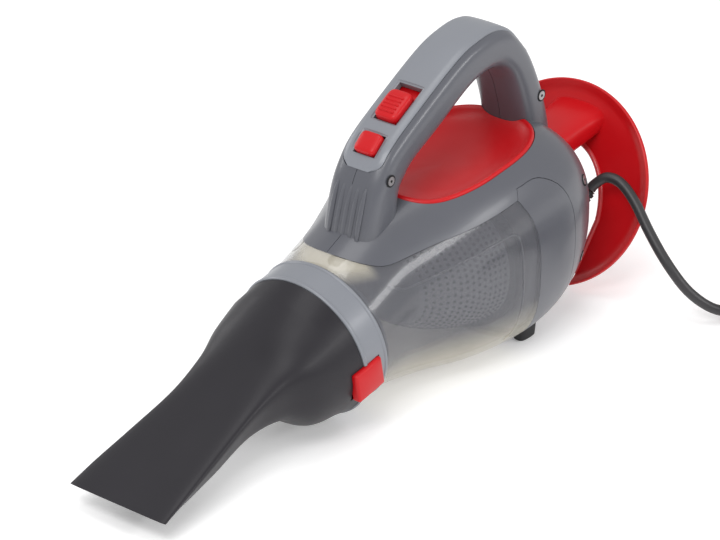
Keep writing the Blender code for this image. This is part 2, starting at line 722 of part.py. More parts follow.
def in_flange_plane(obj):
    """Turns an object so that its Z faces the body square to the flange and its Y runs up the flange."""
    up = Vector((math.sin(FLANGE_LEAN), 0, math.cos(FLANGE_LEAN)))
    out = Vector((-math.cos(FLANGE_LEAN), 0, math.sin(FLANGE_LEAN)))
    turn = Matrix((Vector((0, -1, 0)), up, out)).transposed()
    obj.rotation_euler = turn.to_euler()
    obj.location = (station(FLANGE_STATION), 0, FLANGE_HEIGHT)
    return obj


def cord_flange():
    """Horseshoe disc that the cord winds behind, on a neck from the top of the body's rear."""
    r = FLANGE_RADIUS
    profile = [(-1.5 * MM, 0), (-1.5 * MM, r - 6 * MM), (2.5 * MM, r), (4.5 * MM, r - 0.6 * MM)]
    profile += [(1.4 * MM, r - 6.5 * MM), (1.4 * MM, 0)]
    flange = turned("cord_flange", profile[::-1], (0, 0, 0), (0, 0, 1), RED, 56)
    in_flange_plane(flange)
    arch = [(-22 * MM, -70 * MM)]
    for k in range(15):
        angle = math.pi - math.pi * k / 14
        rise = (ARCH_TOP - ARCH_SPRING) * math.sin(angle)
        arch.append((ARCH_HALF_WIDTH * math.cos(angle), ARCH_SPRING + rise))
    arch.append((22 * MM, -70 * MM))
    cutter = prism("arch", arch, -20 * MM, 20 * MM, None, "Z")
    boolean(flange, in_flange_plane(cutter))
    neck = [(334, 70, 89, 15), (352, 72, 91, 15), (372, 76, 94, 16), (387.5, 80, 96, 18)]
    rings = []
    for along, low, high, half_width in neck:
        ring = []
        for y, z in superellipse(half_width * MM, (high - low) / 2 * MM, 3.0, 20):
            ring.append((station(along) + z * math.tan(FLANGE_LEAN) * 0.9, y, (low + high) / 2 * MM + z))
        rings.append(ring)
    boolean(flange, loft("neck", rings, None, collection=CUTTERS), "UNION")
    boolean(flange, body_mass("neck_seat", -GAP))
    return flange


def feet():
    for side, name in ((-1, "foot_right"), (1, "foot_left")):
        rings = []
        for height, half_x, half_y in ((0.0, 6.0, 3.0), (1.0, 6.8, 3.8), (16.0, 8.0, 5.0)):
            ring = []
            for x, y in superellipse(half_x * MM, half_y * MM, 3.0, 20):
                ring.append((station(288) + x, side * 37 * MM + y, height * MM))
            rings.append(ring)
        foot = loft(name, rings, SOFT)
        boolean(foot, body_mass(name + "_seat", -GAP))


# ------------------------------------------------------------------ cord, coil and plug

RELIEF_BASE = (346.0, -21.0, 46.0)
RELIEF_RUN = Vector((0.52, -0.42, 0.74)).normalized()
RELIEF_LENGTH = 20.0
COIL_MIDDLE = (417.0, -171.0)
COIL_FLOOR = 1.6 * MM  # the coil's underside, clear of the tie that passes below it
PLUG_START = 396.0  # station of the plug's cord end
PLUG_SIDE = -228.6
PLUG_AXIS = 11.0  # height of the plug's axis, lying on the floor
PLUG_RADIUS = 10.6 * MM

# Free stretch of the cord from the strain relief, over the flange and down to the coil: (station, y, z) in mm.
LEAD = [
    (362.0, -36.8, 68.6), (363.2, -45.5, 67.2), (361.8, -56.0, 59.5), (358.0, -69.0, 46.5), (355.5, -83.0, 33.0),
    (358.0, -96.0, 19.0), (366.0, -107.0, 9.0), (378.0, -114.0, 4.6), (392.0, -116.0, 3.5),
]
TAIL = [(416.0, -227.9, 11.0), (406.0, -228.4, 11.0), (PLUG_START + 0.3, PLUG_SIDE, PLUG_AXIS)]


def place(point):
    return Vector((station(point[0]), point[1] * MM, point[2] * MM))


def tube(name, points, material):
    """A cord along a smooth route, as a curve with a round section and closed ends."""
    curve = bpy.data.curves.new(name, "CURVE")
    curve.dimensions = "3D"
    spline = curve.splines.new("POLY")
    spline.points.add(len(points) - 1)
    for target, point in zip(spline.points, points):
        target.co = (*point, 1.0)
    curve.bevel_depth = CORD_RADIUS
    curve.bevel_resolution = 2
    curve.use_fill_caps = True
    obj = bpy.data.objects.new(name, curve)
    curve.materials.append(material)
    PARTS.objects.link(obj)
    return obj


def cord_parts():
    relief_base = place(RELIEF_BASE)
    reach = RELIEF_LENGTH * MM
    profile = [(0, 6.2 * MM), (6 * MM, 5.6 * MM), (reach, 3.7 * MM), (reach, 0), (0, 0)][::-1]
    relief = turned("strain_relief", profile[::-1], relief_base, RELIEF_RUN, SOFT, 16)
    boolean(relief, body_mass("relief_seat", -GAP))
    start = relief_base + RELIEF_RUN * (reach + 2 * GAP)
    middle = Vector((station(COIL_MIDDLE[0]), COIL_MIDDLE[1] * MM, 0))
    outer = COIL_RADIUS + COIL_BUNDLE
    clear = outer + CORD_RADIUS + 0.4 * MM
    touch = math.radians(100)
    arrive = middle + Vector((clear * math.cos(touch), clear * math.sin(touch), 3.4 * MM))
    route = [start, start + RELIEF_RUN * 4 * MM] + [place(point) for point in LEAD] + [arrive]
    tube("cord", [Vector(point) for point in smooth(route, 4)], BLACK)
    tube("cord_tail", [Vector(point) for point in smooth([place(point) for point in TAIL], 2)], BLACK)
    low, high, inner = COIL_FLOOR, COIL_FLOOR + 1.9 * COIL_BUNDLE, COIL_RADIUS - COIL_BUNDLE
    edge = 5 * MM
    profile = [(low, inner + edge), (low, outer - edge), (low + edge, outer), (high - edge, outer)]
    profile += [(high, outer - edge), (high, inner + edge), (high - edge, inner), (low + edge, inner)]
    turned("cord_coil", profile, middle, (0, 0, 1), BLACK, 32)
    coil_tie(middle, low, high, inner, outer)


def coil_tie(middle, low, high, inner, outer):
    """A band round the coil's bundle, on the side away from the plug."""
    clear = 0.5 * MM
    thick = 1.0 * MM
    turn = Matrix.Rotation(math.radians(35), 4, "Z")
    rings = []
    for along, grow in ((-4, clear + thick), (4, clear + thick), (4, clear), (-4, clear)):
        corners = [(inner - grow, low - grow), (outer + grow, low - grow), (outer + grow, high + grow),
                   (inner - grow, high + grow)]
        rings.append([middle + turn @ Vector((radial, along * MM, z)) for radial, z in corners])
    return loft("cord_tie", rings, LIGHT_GREY, closed=True)


def plug():
    """12 V accessory plug lying on the floor, its tip to the nose end."""
    def piece(name, near, profile, material):
        return turned(name, profile, place((near, PLUG_SIDE, PLUG_AXIS)), (-1, 0, 0), material, 24)

    def solid(radii):
        return [(along * MM, radius) for along, radius in radii] + [(radii[-1][0] * MM, 0), (radii[0][0] * MM, 0)]

    piece("plug_relief", PLUG_START, solid([(0, 3.8 * MM), (21.7, 6.4 * MM)]), SOFT)
    grip = PLUG_RADIUS - 0.4 * MM
    body = piece("plug_body", PLUG_START - 22,
                 solid([(0, 7.5 * MM), (3, grip), (30, PLUG_RADIUS), (33, PLUG_RADIUS), (34, 9.6 * MM), (66, 9.6 * MM)]),
                 BLACK)
    ring = [(0, 8.8 * MM), (7, 8.8 * MM), (10, 6.5 * MM), (10, 4.2 * MM), (0, 4.2 * MM)]
    piece("plug_cap", PLUG_START - 88.3, [(along * MM, radius) for along, radius in ring], BLACK)
    piece("plug_tip", PLUG_START - 91, solid([(0, 3.8 * MM), (12, 3.8 * MM), (15, 2.2 * MM)]), BRASS)
    for side, name in ((-1, "plug_contact_right"), (1, "plug_contact_left")):
        centre = place((PLUG_START - 72, PLUG_SIDE + side * 9.6, PLUG_AXIS))
        box(name, centre, (14 * MM, 2.0 * MM, 4 * MM), BRASS, 0.5 * MM)
        slot = box(name + "_slot", centre - Vector((0, side * 0.6 * MM, 0)), (14.6 * MM, 4.4 * MM, 4.6 * MM), None,
                   collection=CUTTERS)
        boolean(body, slot)


rights = [nozzle(), bowl_ring()]
latch(-1, "latch_right", rights)
latch(1, "latch_left", rights)
housing()
dust_bowl()
belly_cover()
deck()
controls(handle_cover())
inlet_parts()
filter_parts()
bowl_catch()
motor_parts()
cord_flange()
feet()
cord_parts()
plug()
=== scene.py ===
import math

import bmesh
import bpy
import numpy as np
from mathutils import Matrix, Vector


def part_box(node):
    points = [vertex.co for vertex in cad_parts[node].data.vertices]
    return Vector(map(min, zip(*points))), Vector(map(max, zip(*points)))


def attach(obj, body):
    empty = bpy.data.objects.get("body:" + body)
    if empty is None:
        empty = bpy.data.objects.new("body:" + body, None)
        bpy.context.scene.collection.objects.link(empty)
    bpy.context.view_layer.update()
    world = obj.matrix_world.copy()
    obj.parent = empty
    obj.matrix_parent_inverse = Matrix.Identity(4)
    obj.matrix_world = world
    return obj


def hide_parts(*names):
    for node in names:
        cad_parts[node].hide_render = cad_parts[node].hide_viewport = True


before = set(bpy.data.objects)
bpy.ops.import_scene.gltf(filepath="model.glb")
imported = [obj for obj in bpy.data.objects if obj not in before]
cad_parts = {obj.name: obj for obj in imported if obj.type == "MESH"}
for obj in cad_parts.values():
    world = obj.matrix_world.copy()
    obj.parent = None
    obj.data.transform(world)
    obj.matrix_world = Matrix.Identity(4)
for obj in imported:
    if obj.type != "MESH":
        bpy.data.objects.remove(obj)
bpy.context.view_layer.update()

# ------------------------------------------------------------------ camera, floor and light
# The vacuum is seen from in front of its nose and well above it, on its cord side, with a long lens.

MM = 0.001
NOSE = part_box("nozzle")[0][0]  # X of the nozzle's lip


def at(along, y=0.0, z=0.0):
    """A place given in millimetres behind the nozzle's lip, across and above the floor."""
    return Vector((along * MM + NOSE, y * MM, z * MM))


camera = bpy.data.objects.new("camera", bpy.data.cameras.new("camera"))
bpy.context.scene.collection.objects.link(camera)
camera.data.lens = 179.0
camera.data.clip_end = 20.0
camera.location = at(-1104.6, -1050.9, 917.5)
LOOK = Vector((0.692, 0.561, -0.454)).normalized()
camera.rotation_euler = LOOK.to_track_quat("-Z", "Y").to_euler()
bpy.context.scene.camera = camera
bpy.context.scene.view_settings.view_transform = "Standard"


def softbox(name, place, aim, size, power):
    """A rectangular lamp, turned from its place to an aim."""
    lamp = bpy.data.lights.new(name, "AREA")
    lamp.shape = "RECTANGLE"
    lamp.size, lamp.size_y = size
    lamp.energy = power
    obj = bpy.data.objects.new(name, lamp)
    obj.location = place
    obj.rotation_euler = (Vector(aim) - Vector(place)).to_track_quat("-Z", "Y").to_euler()
    bpy.context.scene.collection.objects.link(obj)


softbox("key_light", (-0.9, -0.35, 1.25), (0, 0, 0.05), (0.8, 0.5), 9.0)
softbox("side_strip", (0.35, -1.3, 0.75), (0.05, 0, 0.06), (1.1, 0.22), 6.5)
softbox("rear_light", (-0.2, 1.5, 0.7), (0, 0, 0.1), (0.9, 0.5), 5.0)
softbox("top_light", (0.0, 0.1, 1.5), (0, 0, 0), (0.7, 0.7), 4.5)

world = bpy.data.worlds.new("studio")
bpy.context.scene.world = world
world.use_nodes = True
world.node_tree.nodes["Background"].inputs["Color"].default_value = (1.0, 1.0, 1.0, 1.0)
world.node_tree.nodes["Background"].inputs["Strength"].default_value = 0.62


class Wire:
    """A shader socket that arithmetic can be written with."""

    def __init__(self, paint, socket):
        self.paint = paint
        self.socket = socket

    def math(self, operation, other):
        return self.paint.node("ShaderNodeMath", {"operation": operation}, {0: self, 1: other})

    def __add__(self, other):
        return self.math("ADD", other)

    def __mul__(self, other):
        return self.math("MULTIPLY", other)


class Paint:
    """One material on a Principled shader."""

    def __init__(self, name, colour, roughness, **fixed):
        self.material = bpy.data.materials.new(name)
        self.material.use_nodes = True
        self.tree = self.material.node_tree
        self.shader = self.tree.nodes["Principled BSDF"]
        self.shader.inputs["Base Color"].default_value = (*colour, 1.0)
        self.shader.inputs["Roughness"].default_value = roughness
        for socket, value in fixed.items():
            self.shader.inputs[socket.replace("_", " ")].default_value = value
        self.place = self.node("ShaderNodeTexCoord", {}, {}, "Object")

    def node(self, kind, settings, values, output=0):
        made = self.tree.nodes.new(kind)
        for key, value in settings.items():
            setattr(made, key, value)
        for key, value in values.items():
            if isinstance(value, Wire):
                self.tree.links.new(value.socket, made.inputs[key])
            else:
                made.inputs[key].default_value = value
        return Wire(self, made.outputs[output])

    def noise(self, scale, detail=3.0, stretch=None):
        where = self.place
        if stretch:
            where = self.node("ShaderNodeMapping", {}, {"Vector": where, "Scale": stretch})
        return self.node("ShaderNodeTexNoise", {}, {"Vector": where, "Scale": scale, "Detail": detail})

    def mix(self, factor, first, second):
        return self.node("ShaderNodeMix", {"data_type": "RGBA"},
                         {0: factor, 6: self.colour(first), 7: self.colour(second)}, 2)

    @staticmethod
    def colour(value):
        return value if isinstance(value, Wire) else (*value, 1.0)

    def feed(self, socket, wire):
        self.tree.links.new(wire.socket, self.shader.inputs[socket])

    def bump(self, height, distance, strength=1.0):
        self.feed("Normal", self.node("ShaderNodeBump", {},
                                      {"Height": height, "Distance": distance, "Strength": strength}))


def moulded(name, colour, roughness, grain=0.012, coat=0.0, speck=0.06, **fixed):
    """Injection-moulded plastic: fine eroded grain, faint flow shading, rubbed and duller patches."""
    paint = Paint(name, colour, roughness, Coat_Weight=coat, Coat_Roughness=0.12, **fixed)
    flow = paint.noise(14.0, 2.0, (1.0, 2.2, 2.2))
    rub = paint.noise(70.0, 4.0)
    darker = tuple(c * (1 - speck) for c in colour)
    lighter = tuple(min(1.0, c * (1 + speck) + 0.002) for c in colour)
    paint.feed("Base Color", paint.mix(flow, darker, lighter))
    paint.feed("Roughness", rub * 0.16 + (roughness - 0.08))
    fine = paint.noise(2600.0, 2.0)
    peel = paint.noise(240.0, 2.0)
    paint.bump(fine * 0.7 + peel * 0.3, grain * MM)
    return paint.material


floor_paint = Paint("studio_floor", (0.94, 0.94, 0.94), 0.55, Emission_Color=(1, 1, 1, 1),
                    Emission_Strength=0.22)
floor_paint.feed("Roughness", floor_paint.noise(9.0) * 0.1 + 0.5)
bpy.ops.mesh.primitive_plane_add(size=12.0, location=(0, 0, 0))
floor = bpy.context.object
floor.name = "floor"
floor.data.materials.append(floor_paint.material)

# ------------------------------------------------------------------ nozzle
# A flat spout of charcoal plastic with a slanted mouth. It swells to a round root whose spigot plugs into the
# ring, and its top keeps a crisp edge along each side.

GAP = 0.3 * MM
WALL = 2.4 * MM
RING_RADIUS = 41.0 * MM
RING_LENGTH = 18.0 * MM
RING_PITCH = math.radians(11.0)
RING_AXIS = Vector((math.cos(RING_PITCH), 0.0, math.sin(RING_PITCH)))
RING_CENTRE = at(163.0, 0.0, 44.4)
SHARP = math.radians(32)  # an edge that bends by more is shaded as an edge


def station(millimetres):
    return millimetres * MM + NOSE


def smooth(points, steps=6):
    """A Catmull-Rom curve through points, ends included."""
    points = [np.array(point, float) for point in points]
    ends = [2 * points[0] - points[1]] + points + [2 * points[-1] - points[-2]]
    curve = []
    for a, b, c, d in zip(ends, ends[1:], ends[2:], ends[3:]):
        for t in np.arange(steps) / steps:
            cubic = (3 * b - a - 3 * c + d) * t**3 + (2 * a - 5 * b + 4 * c - d) * t**2
            curve.append(0.5 * (cubic + (c - a) * t + 2 * b))
    curve.append(points[-1])
    return curve


def superellipse(half_width, half_height, power, count=120):
    """Points round an oval whose corners fill out as the power rises above 2."""
    points = []
    for k in range(count):
        angle = 2 * math.pi * (k + 0.5) / count
        c, s = math.cos(angle), math.sin(angle)
        y = half_width * math.copysign(abs(c) ** (2 / power), c)
        z = half_height * math.copysign(abs(s) ** (2 / power), s)
        points.append((y, z))
    return points


def from_bmesh(name, shape, material):
    bmesh.ops.recalc_face_normals(shape, faces=shape.faces)
    mesh = bpy.data.meshes.new(name)
    shape.to_mesh(mesh)
    shape.free()
    mesh.shade_smooth()
    mesh.set_sharp_from_angle(angle=SHARP)
    mesh.materials.append(material)
    obj = bpy.data.objects.new(name, mesh)
    bpy.context.scene.collection.objects.link(obj)
    return obj


def knit(rings, closed):
    """Faces that join rings of equal count. A closed run goes back to its first ring, another is capped."""
    shape = bmesh.new()
    loops = [[shape.verts.new(point) for point in ring] for ring in rings]
    spans = list(zip(loops, loops[1:]))
    if closed:
        spans.append((loops[-1], loops[0]))
    for near, far in spans:
        for k in range(len(near)):
            n = (k + 1) % len(near)
            shape.faces.new((near[k], near[n], far[n], far[k]))
    if not closed:
        shape.faces.new(loops[0][::-1])
        shape.faces.new(loops[-1])
    return shape


def loft(name, rings, material=None, closed=False):
    """A solid through rings of equal count."""
    return from_bmesh(name, knit(rings, closed), material)


def block(name, size, radius=0.0, material=None, segments=4):
    """A box with rounded edges, centred on the origin."""
    shape = bmesh.new()
    bmesh.ops.create_cube(shape, size=1.0, matrix=Matrix.Diagonal((*size, 1.0)))
    if radius:
        bmesh.ops.bevel(shape, geom=shape.edges[:], offset=radius, segments=segments, profile=0.5,
                        affect="EDGES")
    return from_bmesh(name, shape, material)


def set_down(obj, turn, place):
    """Turns and moves the points of an object, which itself stays at the origin."""
    obj.data.transform(Matrix.Translation(place) @ turn.to_4x4())
    return obj


def plain(obj):
    """Makes what an object's modifier shows into its own mesh."""
    made = bpy.data.meshes.new_from_object(obj.evaluated_get(bpy.context.evaluated_depsgraph_get()))
    obj.modifiers.clear()
    obj.data = made
    made.shade_smooth()
    made.set_sharp_from_angle(angle=SHARP)
    return obj


def carve(obj, cutter, operation="DIFFERENCE"):
    """Cuts, joins or trims an object with a helper, which is then deleted."""
    modifier = obj.modifiers.new("carve", "BOOLEAN")
    modifier.operation = operation
    modifier.solver = "EXACT"
    modifier.object = cutter
    plain(obj)
    bpy.data.objects.remove(cutter)
    return obj


def recoat(obj, material):
    """Leaves an object that was cut with one material."""
    obj.data.materials.clear()
    obj.data.materials.append(material)


def stands_for(obj, body, slot, *nodes):
    """Tells which body a piece rides and the nodes it replaces; the finish slot is not used."""
    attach(obj, body)
    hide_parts(*nodes)


NOZZLE = [
    (5.2, 10.8, 33.8, 6.0, 6.0, 60.0, 0.3),
    (22.0, 15.5, 32.4, 7.0, 6.0, 45.0, 0.28),
    (45.0, 22.0, 30.0, 8.2, 5.5, 30.0, 0.25),
    (75.0, 31.5, 27.2, 9.6, 5.0, 18.0, 0.2),
    (98.0, 37.0, 29.5, 16.5, 3.4, 14.0, 0.1),
    (116.0, 37.0, 36.0, 29.0, 2.5, 12.0, 0.0),
    (133.0, 40.2, 40.0, 36.0, 2.15, 11.0, 0.0),
]


def nozzle_ring(row, inset=0.0):
    along, height, half_width, half_height, power, lean, taper = row
    lean = math.radians(lean)
    half_height = half_height * MM - inset
    ring = []
    for y, h in superellipse(half_width * MM - inset, half_height, power):
        y *= 1 - taper * (1 - h / half_height) / 2
        ring.append((station(along) - h * math.sin(lean), y, height * MM + h * math.cos(lean)))
    return ring


def axis_ring(along, radius):
    """A circle round the ring's axis, at a distance along it from the ring's rear face."""
    centre = RING_CENTRE + RING_AXIS * along
    up = Vector((-RING_AXIS.z, 0, RING_AXIS.x))
    return [centre + up * h + Vector((0, y, 0)) for y, h in superellipse(radius, radius, 2.0)]


LATCH_SIZE = (21 * MM, 5.4 * MM, 17 * MM)
LATCH_TURN = Matrix.Rotation(-RING_PITCH, 3, "Y")


def latch_place(side):
    return RING_CENTRE - RING_AXIS * 15.5 * MM + Vector((0, side * 40.2 * MM, -6.5 * MM))


def latch_window(side):
    hole = block("latch_window", (LATCH_SIZE[0] + 2 * GAP, 16 * MM, LATCH_SIZE[2] + 2 * GAP))
    return set_down(hole, LATCH_TURN, latch_place(side) + Vector((0, side * MM, 0)))


charcoal = moulded("charcoal_plastic", (0.014, 0.0125, 0.0165), 0.44, coat=0.02, speck=0.1,
                    Specular_IOR_Level=0.3)
front = -RING_LENGTH - GAP
spigot = RING_RADIUS - 3.6 * MM
rows = smooth(NOZZLE, 7)
outer = [nozzle_ring(row) for row in rows]
outer += [axis_ring(front, RING_RADIUS - 0.4 * MM), axis_ring(front, spigot), axis_ring(-10.5 * MM, spigot)]
inner = [axis_ring(-10.5 * MM, spigot - WALL), axis_ring(front, spigot - WALL)]
inner += [nozzle_ring(row, WALL) for row in rows[::-1]]
spout = loft("spout", outer + inner, charcoal, closed=True)
for side in (-1, 1):
    carve(spout, latch_window(side))
stands_for(spout, "nozzle", "charcoal", "nozzle")

# ------------------------------------------------------------------ ring and latches
# The pale band between nozzle and bowl has a rounded bead along each edge, and a domed red latch in a window
# on either side that is pressed in to free the nozzle.


def turned(name, profile, centre, direction, material=None, sides=120):
    """A closed profile of (along, radius) points turned round the axis through centre."""
    towards = Vector(direction).normalized().to_track_quat("Z", "Y").to_matrix()
    rings = []
    for step in range(sides):
        angle = 2 * math.pi * step / sides
        c, s = math.cos(angle), math.sin(angle)
        rings.append([towards @ Vector((r * c, r * s, along)) + centre for along, r in profile])
    shape = knit(rings, True)
    bmesh.ops.remove_doubles(shape, verts=shape.verts, dist=0.002 * MM)
    bmesh.ops.dissolve_degenerate(shape, edges=shape.edges, dist=0.0005 * MM)
    return from_bmesh(name, shape, material)


pale = moulded("pale_grey_plastic", (0.20, 0.21, 0.235), 0.36, coat=0.08, speck=0.04)
scarlet = moulded("red_plastic", (0.50, 0.0015, 0.005), 0.40, coat=0.04, speck=0.08, Specular_IOR_Level=0.3)
bore = RING_RADIUS - 3.2 * MM
profile = []
for start, stop in ((-RING_LENGTH, -RING_LENGTH + 2.4 * MM), (-2.4 * MM, 0.0)):
    for k in range(9):
        u = k / 8
        swell = 0.6 * MM * math.sin(math.pi * u) ** 0.6
        profile.append((start + (stop - start) * u, RING_RADIUS + swell))
profile += [(0, bore), (5 * MM, bore), (5 * MM, bore - WALL), (-10 * MM, bore - WALL), (-10 * MM, bore),
            (-RING_LENGTH, bore)]
band = turned("band", profile, RING_CENTRE, RING_AXIS, pale)
for side in (-1, 1):
    carve(band, latch_window(side))
stands_for(band, "bowl", "light_grey", "bowl_ring")

for side, name in ((-1, "latch_right"), (1, "latch_left")):
    pad = block(name + "_pad", LATCH_SIZE, 1.5 * MM, scarlet, 5)
    bulge = bmesh.new()
    bulge.from_mesh(pad.data)
    bmesh.ops.subdivide_edges(bulge, edges=bulge.edges[:], cuts=3, use_grid_fill=True)
    for point in bulge.verts:
        u, v = point.co.x / (LATCH_SIZE[0] / 2), point.co.z / (LATCH_SIZE[2] / 2)
        if point.co.y * side > 0:
            point.co.y += side * 0.9 * MM * max(0.0, (1 - u * u) * (1 - v * v))
    bulge.to_mesh(pad.data)
    bulge.free()
    pad.data.shade_smooth()
    set_down(pad, LATCH_TURN, latch_place(side))
    stands_for(pad, name, "red", name)

# ------------------------------------------------------------------ dust bowl
# The smoky clear shell under the housing's lip, through which the inner cage shows. A raised ledge follows
# the lip along each side, and turns down in front of the bowl's rear edge.

BODY = [
    (163.7, 40.6, 3.8, 85.0, 2.0, 2.0, 11.0),
    (177.0, 41.2, 3.4, 91.5, 2.0, 2.05, 8.0),
    (192.0, 42.5, 2.6, 99.0, 2.0, 2.2, 5.0),
    (210.0, 47.5, 3.4, 106.5, 2.1, 2.6, 2.0),
    (232.0, 53.5, 3.2, 114.0, 2.4, 3.2, 0.0),
    (256.0, 56.4, 3.0, 117.0, 2.6, 3.6, 0.0),
    (280.0, 57.0, 3.0, 118.0, 2.7, 3.6, 0.0),
    (302.0, 56.0, 5.0, 116.5, 2.7, 3.2, 0.0),
    (319.0, 52.5, 10.0, 113.0, 2.6, 2.8, 0.0),
    (333.0, 46.0, 18.0, 105.0, 2.5, 2.5, 0.0),
    (343.5, 36.0, 29.0, 94.0, 2.2, 2.2, 0.0),
    (350.0, 24.0, 40.0, 81.0, 2.1, 2.1, 0.0),
    (352.5, 11.0, 52.0, 70.0, 2.0, 2.0, 0.0),
]


def body_ring(row, inset=0.0):
    """One section of the body's outside, or of a surface inset from it."""
    along, half_width, low, high, upper, lower, lean = row
    centre = (low + high) / 2 * MM
    half_height = (high - low) / 2 * MM - inset
    lean = math.radians(lean)
    points = []
    above = superellipse(half_width * MM - inset, half_height, upper)
    below = superellipse(half_width * MM - inset, half_height, lower)
    for top, bottom in zip(above, below):
        y, h = top if top[1] > 0 else bottom
        points.append((station(along) - h * math.sin(lean), y, centre + h * math.cos(lean)))
    return points


def outline(points):
    """Side-view points from stations and heights in mm."""
    return [(station(along), height * MM) for along, height in points]


def grown(points, distance):
    """A closed outline moved outwards by a distance."""
    points = [Vector(point) for point in points]
    area = sum(a.x * b.y - b.x * a.y for a, b in zip(points, points[1:] + points[:1]))
    side = math.copysign(1, area)
    moved = []
    for before, here, after in zip(points[-1:] + points[:-1], points, points[1:] + points[:1]):
        first = (here - before).normalized()
        second = (after - here).normalized()
        normal = Vector((first.y + second.y, -first.x - second.x)).normalized() * side
        spread = max(0.5, normal.dot(Vector((first.y, -first.x)) * side))
        moved.append(tuple(here + normal * distance / spread))
    return moved


LIP_LINE = smooth([(163, 88.5), (172, 84.5), (182, 83), (200, 86), (228, 91), (252, 94.5), (262, 96)], 3)
BOWL_EDGE = smooth([(262, 96), (270, 80), (274, 60), (274, 30), (271, -4)], 4)
BELLY_SEAM = smooth([(265, 101), (283, 101), (299, 90), (307, 68), (307, 40), (301, -4)], 4)
BOWL_REGION = outline([(130, 88.5)] + LIP_LINE + BOWL_EDGE[1:] + [(130, -4)])
BELLY_REGION = outline(BOWL_EDGE + BELLY_SEAM[::-1])
LOWER_REGION = outline([(130, 88.5)] + LIP_LINE + BELLY_SEAM + [(130, -4)])
BODY_ROWS = smooth(BODY, 5)


def body_seat():
    """The body's outside with its clearance, which outer fittings are cut to."""
    return loft("seat", [body_ring(row, -GAP) for row in BODY_ROWS])


def slab(name, points, growth, near=-0.12, far=0.12):
    """A side-view outline, grown by a distance and carried across the body."""
    edge = grown(points, growth) if growth else points
    return loft(name, [[(x, y, z) for x, z in edge] for y in (near, far)])


def body_shell(name, material, thickness=WALL, skin=0.0):
    """The whole body as one open-fronted shell."""
    outer = [body_ring(row, skin) for row in BODY_ROWS]
    inner = [body_ring(row, skin + thickness) for row in BODY_ROWS[:-9]]
    inner[0] = [(x - 0.5 * MM, y, z) for x, y, z in inner[0]]
    back = [(x - thickness, y, z) for x, y, z in body_ring(BODY_ROWS[-6], skin + thickness)]
    return loft(name, outer[::-1] + inner + [back], material)


smoke = Paint("smoky_clear_plastic", (0.13, 0.13, 0.145), 0.16, Alpha=0.44, Coat_Weight=0.5,
              Coat_Roughness=0.08)
smoke.feed("Roughness", smoke.noise(60.0) * 0.12 + 0.12)
# Pale cream is painted on the bowl's floor, where it is dust and a painted reflection of the white floor, and
# under the top of its neck.
height = smoke.node("ShaderNodeSeparateXYZ", {}, {0: smoke.place}, 2)
length = smoke.node("ShaderNodeSeparateXYZ", {}, {0: smoke.place}, 0)
low = smoke.node("ShaderNodeMapRange", {}, {0: height, 1: 0.016, 2: 0.036, 3: 1.0, 4: 0.0})
neck = smoke.node("ShaderNodeMapRange", {}, {0: length, 1: station(170), 2: station(174), 3: 1.0, 4: 0.0})
crown = smoke.node("ShaderNodeMapRange", {}, {0: height, 1: 0.078, 2: 0.084, 3: 0.0, 4: 1.0})
dust_and_floor_reflection = smoke.node("ShaderNodeMath", {"operation": "MAXIMUM"}, {0: low, 1: neck * crown})
# Mixes the smoke's colour towards cream: dust together with the painted reflection of the floor.
smoke.feed("Base Color", smoke.mix(dust_and_floor_reflection, (0.15, 0.152, 0.172), (0.62, 0.58, 0.48)))
smoke.bump(smoke.noise(30.0, 1.0), 0.03 * MM)

bowl = body_shell("bowl_shell", smoke.material)
carve(bowl, slab("bowl_region", BOWL_REGION, -GAP / 2), "INTERSECT")
stands_for(bowl, "bowl", "smoke_clear", "dust_bowl")


def body_row(along):
    """The body's section at any station."""
    return [float(np.interp(along, [row[0] for row in BODY_ROWS], column)) for column in zip(*BODY_ROWS)]


def on_body(along, height, side, out=0.0):
    """Place on the body's side at a station and height, and the direction out of it there."""
    found = []
    for step in (0.0, 1.5):
        row = body_row(along + step)
        for lift in (0.0, 1.5):
            centre, half = (row[2] + row[3]) / 2, (row[3] - row[2]) / 2
            power = row[4] if height + lift > centre else row[5]
            share = max(0.0, 1 - abs((height + lift - centre) / half) ** power) ** (1 / power)
            found.append(Vector((station(along + step), side * row[1] * share * MM, (height + lift) * MM)))
    facing = (found[2] - found[0]).cross(found[1] - found[0]).normalized()
    if facing.y * side < 0:
        facing = -facing
    return found[0] + facing * out, facing


def strip(name, points, side, width, thick, material, out=0.0):
    """A rounded rib laid on the body's side through (station, height) points."""
    rings = []
    line = [on_body(along, height, side, out) for along, height in points]
    for k, (place, facing) in enumerate(line):
        run = (line[min(k + 1, len(line) - 1)][0] - line[max(k - 1, 0)][0]).normalized()
        across = facing.cross(run).normalized()
        section = superellipse(width / 2, thick, 2.6, 16)
        rings.append([place + across * y + facing * h for y, h in section])
    return loft(name, rings, material)


LEDGE = smooth([(176, 74), (184, 71), (200, 72.5), (222, 77), (243, 80.5), (252, 81), (257, 77), (259, 62),
                (259.5, 42), (257, 24), (252, 17)], 5)
ledge = None
for side in (-1, 1):
    rib = strip("ledge", LEDGE, side, 1.1 * MM, 0.35 * MM, smoke.material, out=0.05 * MM)
    ledge = carve(ledge, rib, "UNION") if ledge else rib
ledge.name = "bowl_ledge"
stands_for(ledge, "bowl", "smoke_clear")

# ------------------------------------------------------------------ cage and filter
# Inside the bowl a grey cage covers a pleated cloth filter, and both end at the filter's frame. The cage's
# rows of holes are small near-black discs of painted shade, which Geometry Nodes lays out.

FILTER_FRONT = 211.0
FRAME_FRONT = 262.0
FRAME_REAR = 267.5
CAGE_POWER = 2.2
CAGE_COUNT = 144
HOLE_ROWS = 14
HOLE_PITCH = 3.4
HOLE_SPACING = 3.6


def cage_profile(along):
    """Half width, half height and centre height of the cage at a station, in mm."""
    t = (along - FILTER_FRONT) / (FRAME_REAR - FILTER_FRONT)
    swell = math.sin(min(t, 1.0) * math.pi / 2) ** 0.8
    return 24.0 + 22.0 * swell, 19.0 + 19.0 * swell, 49.0 + 1.5 * t


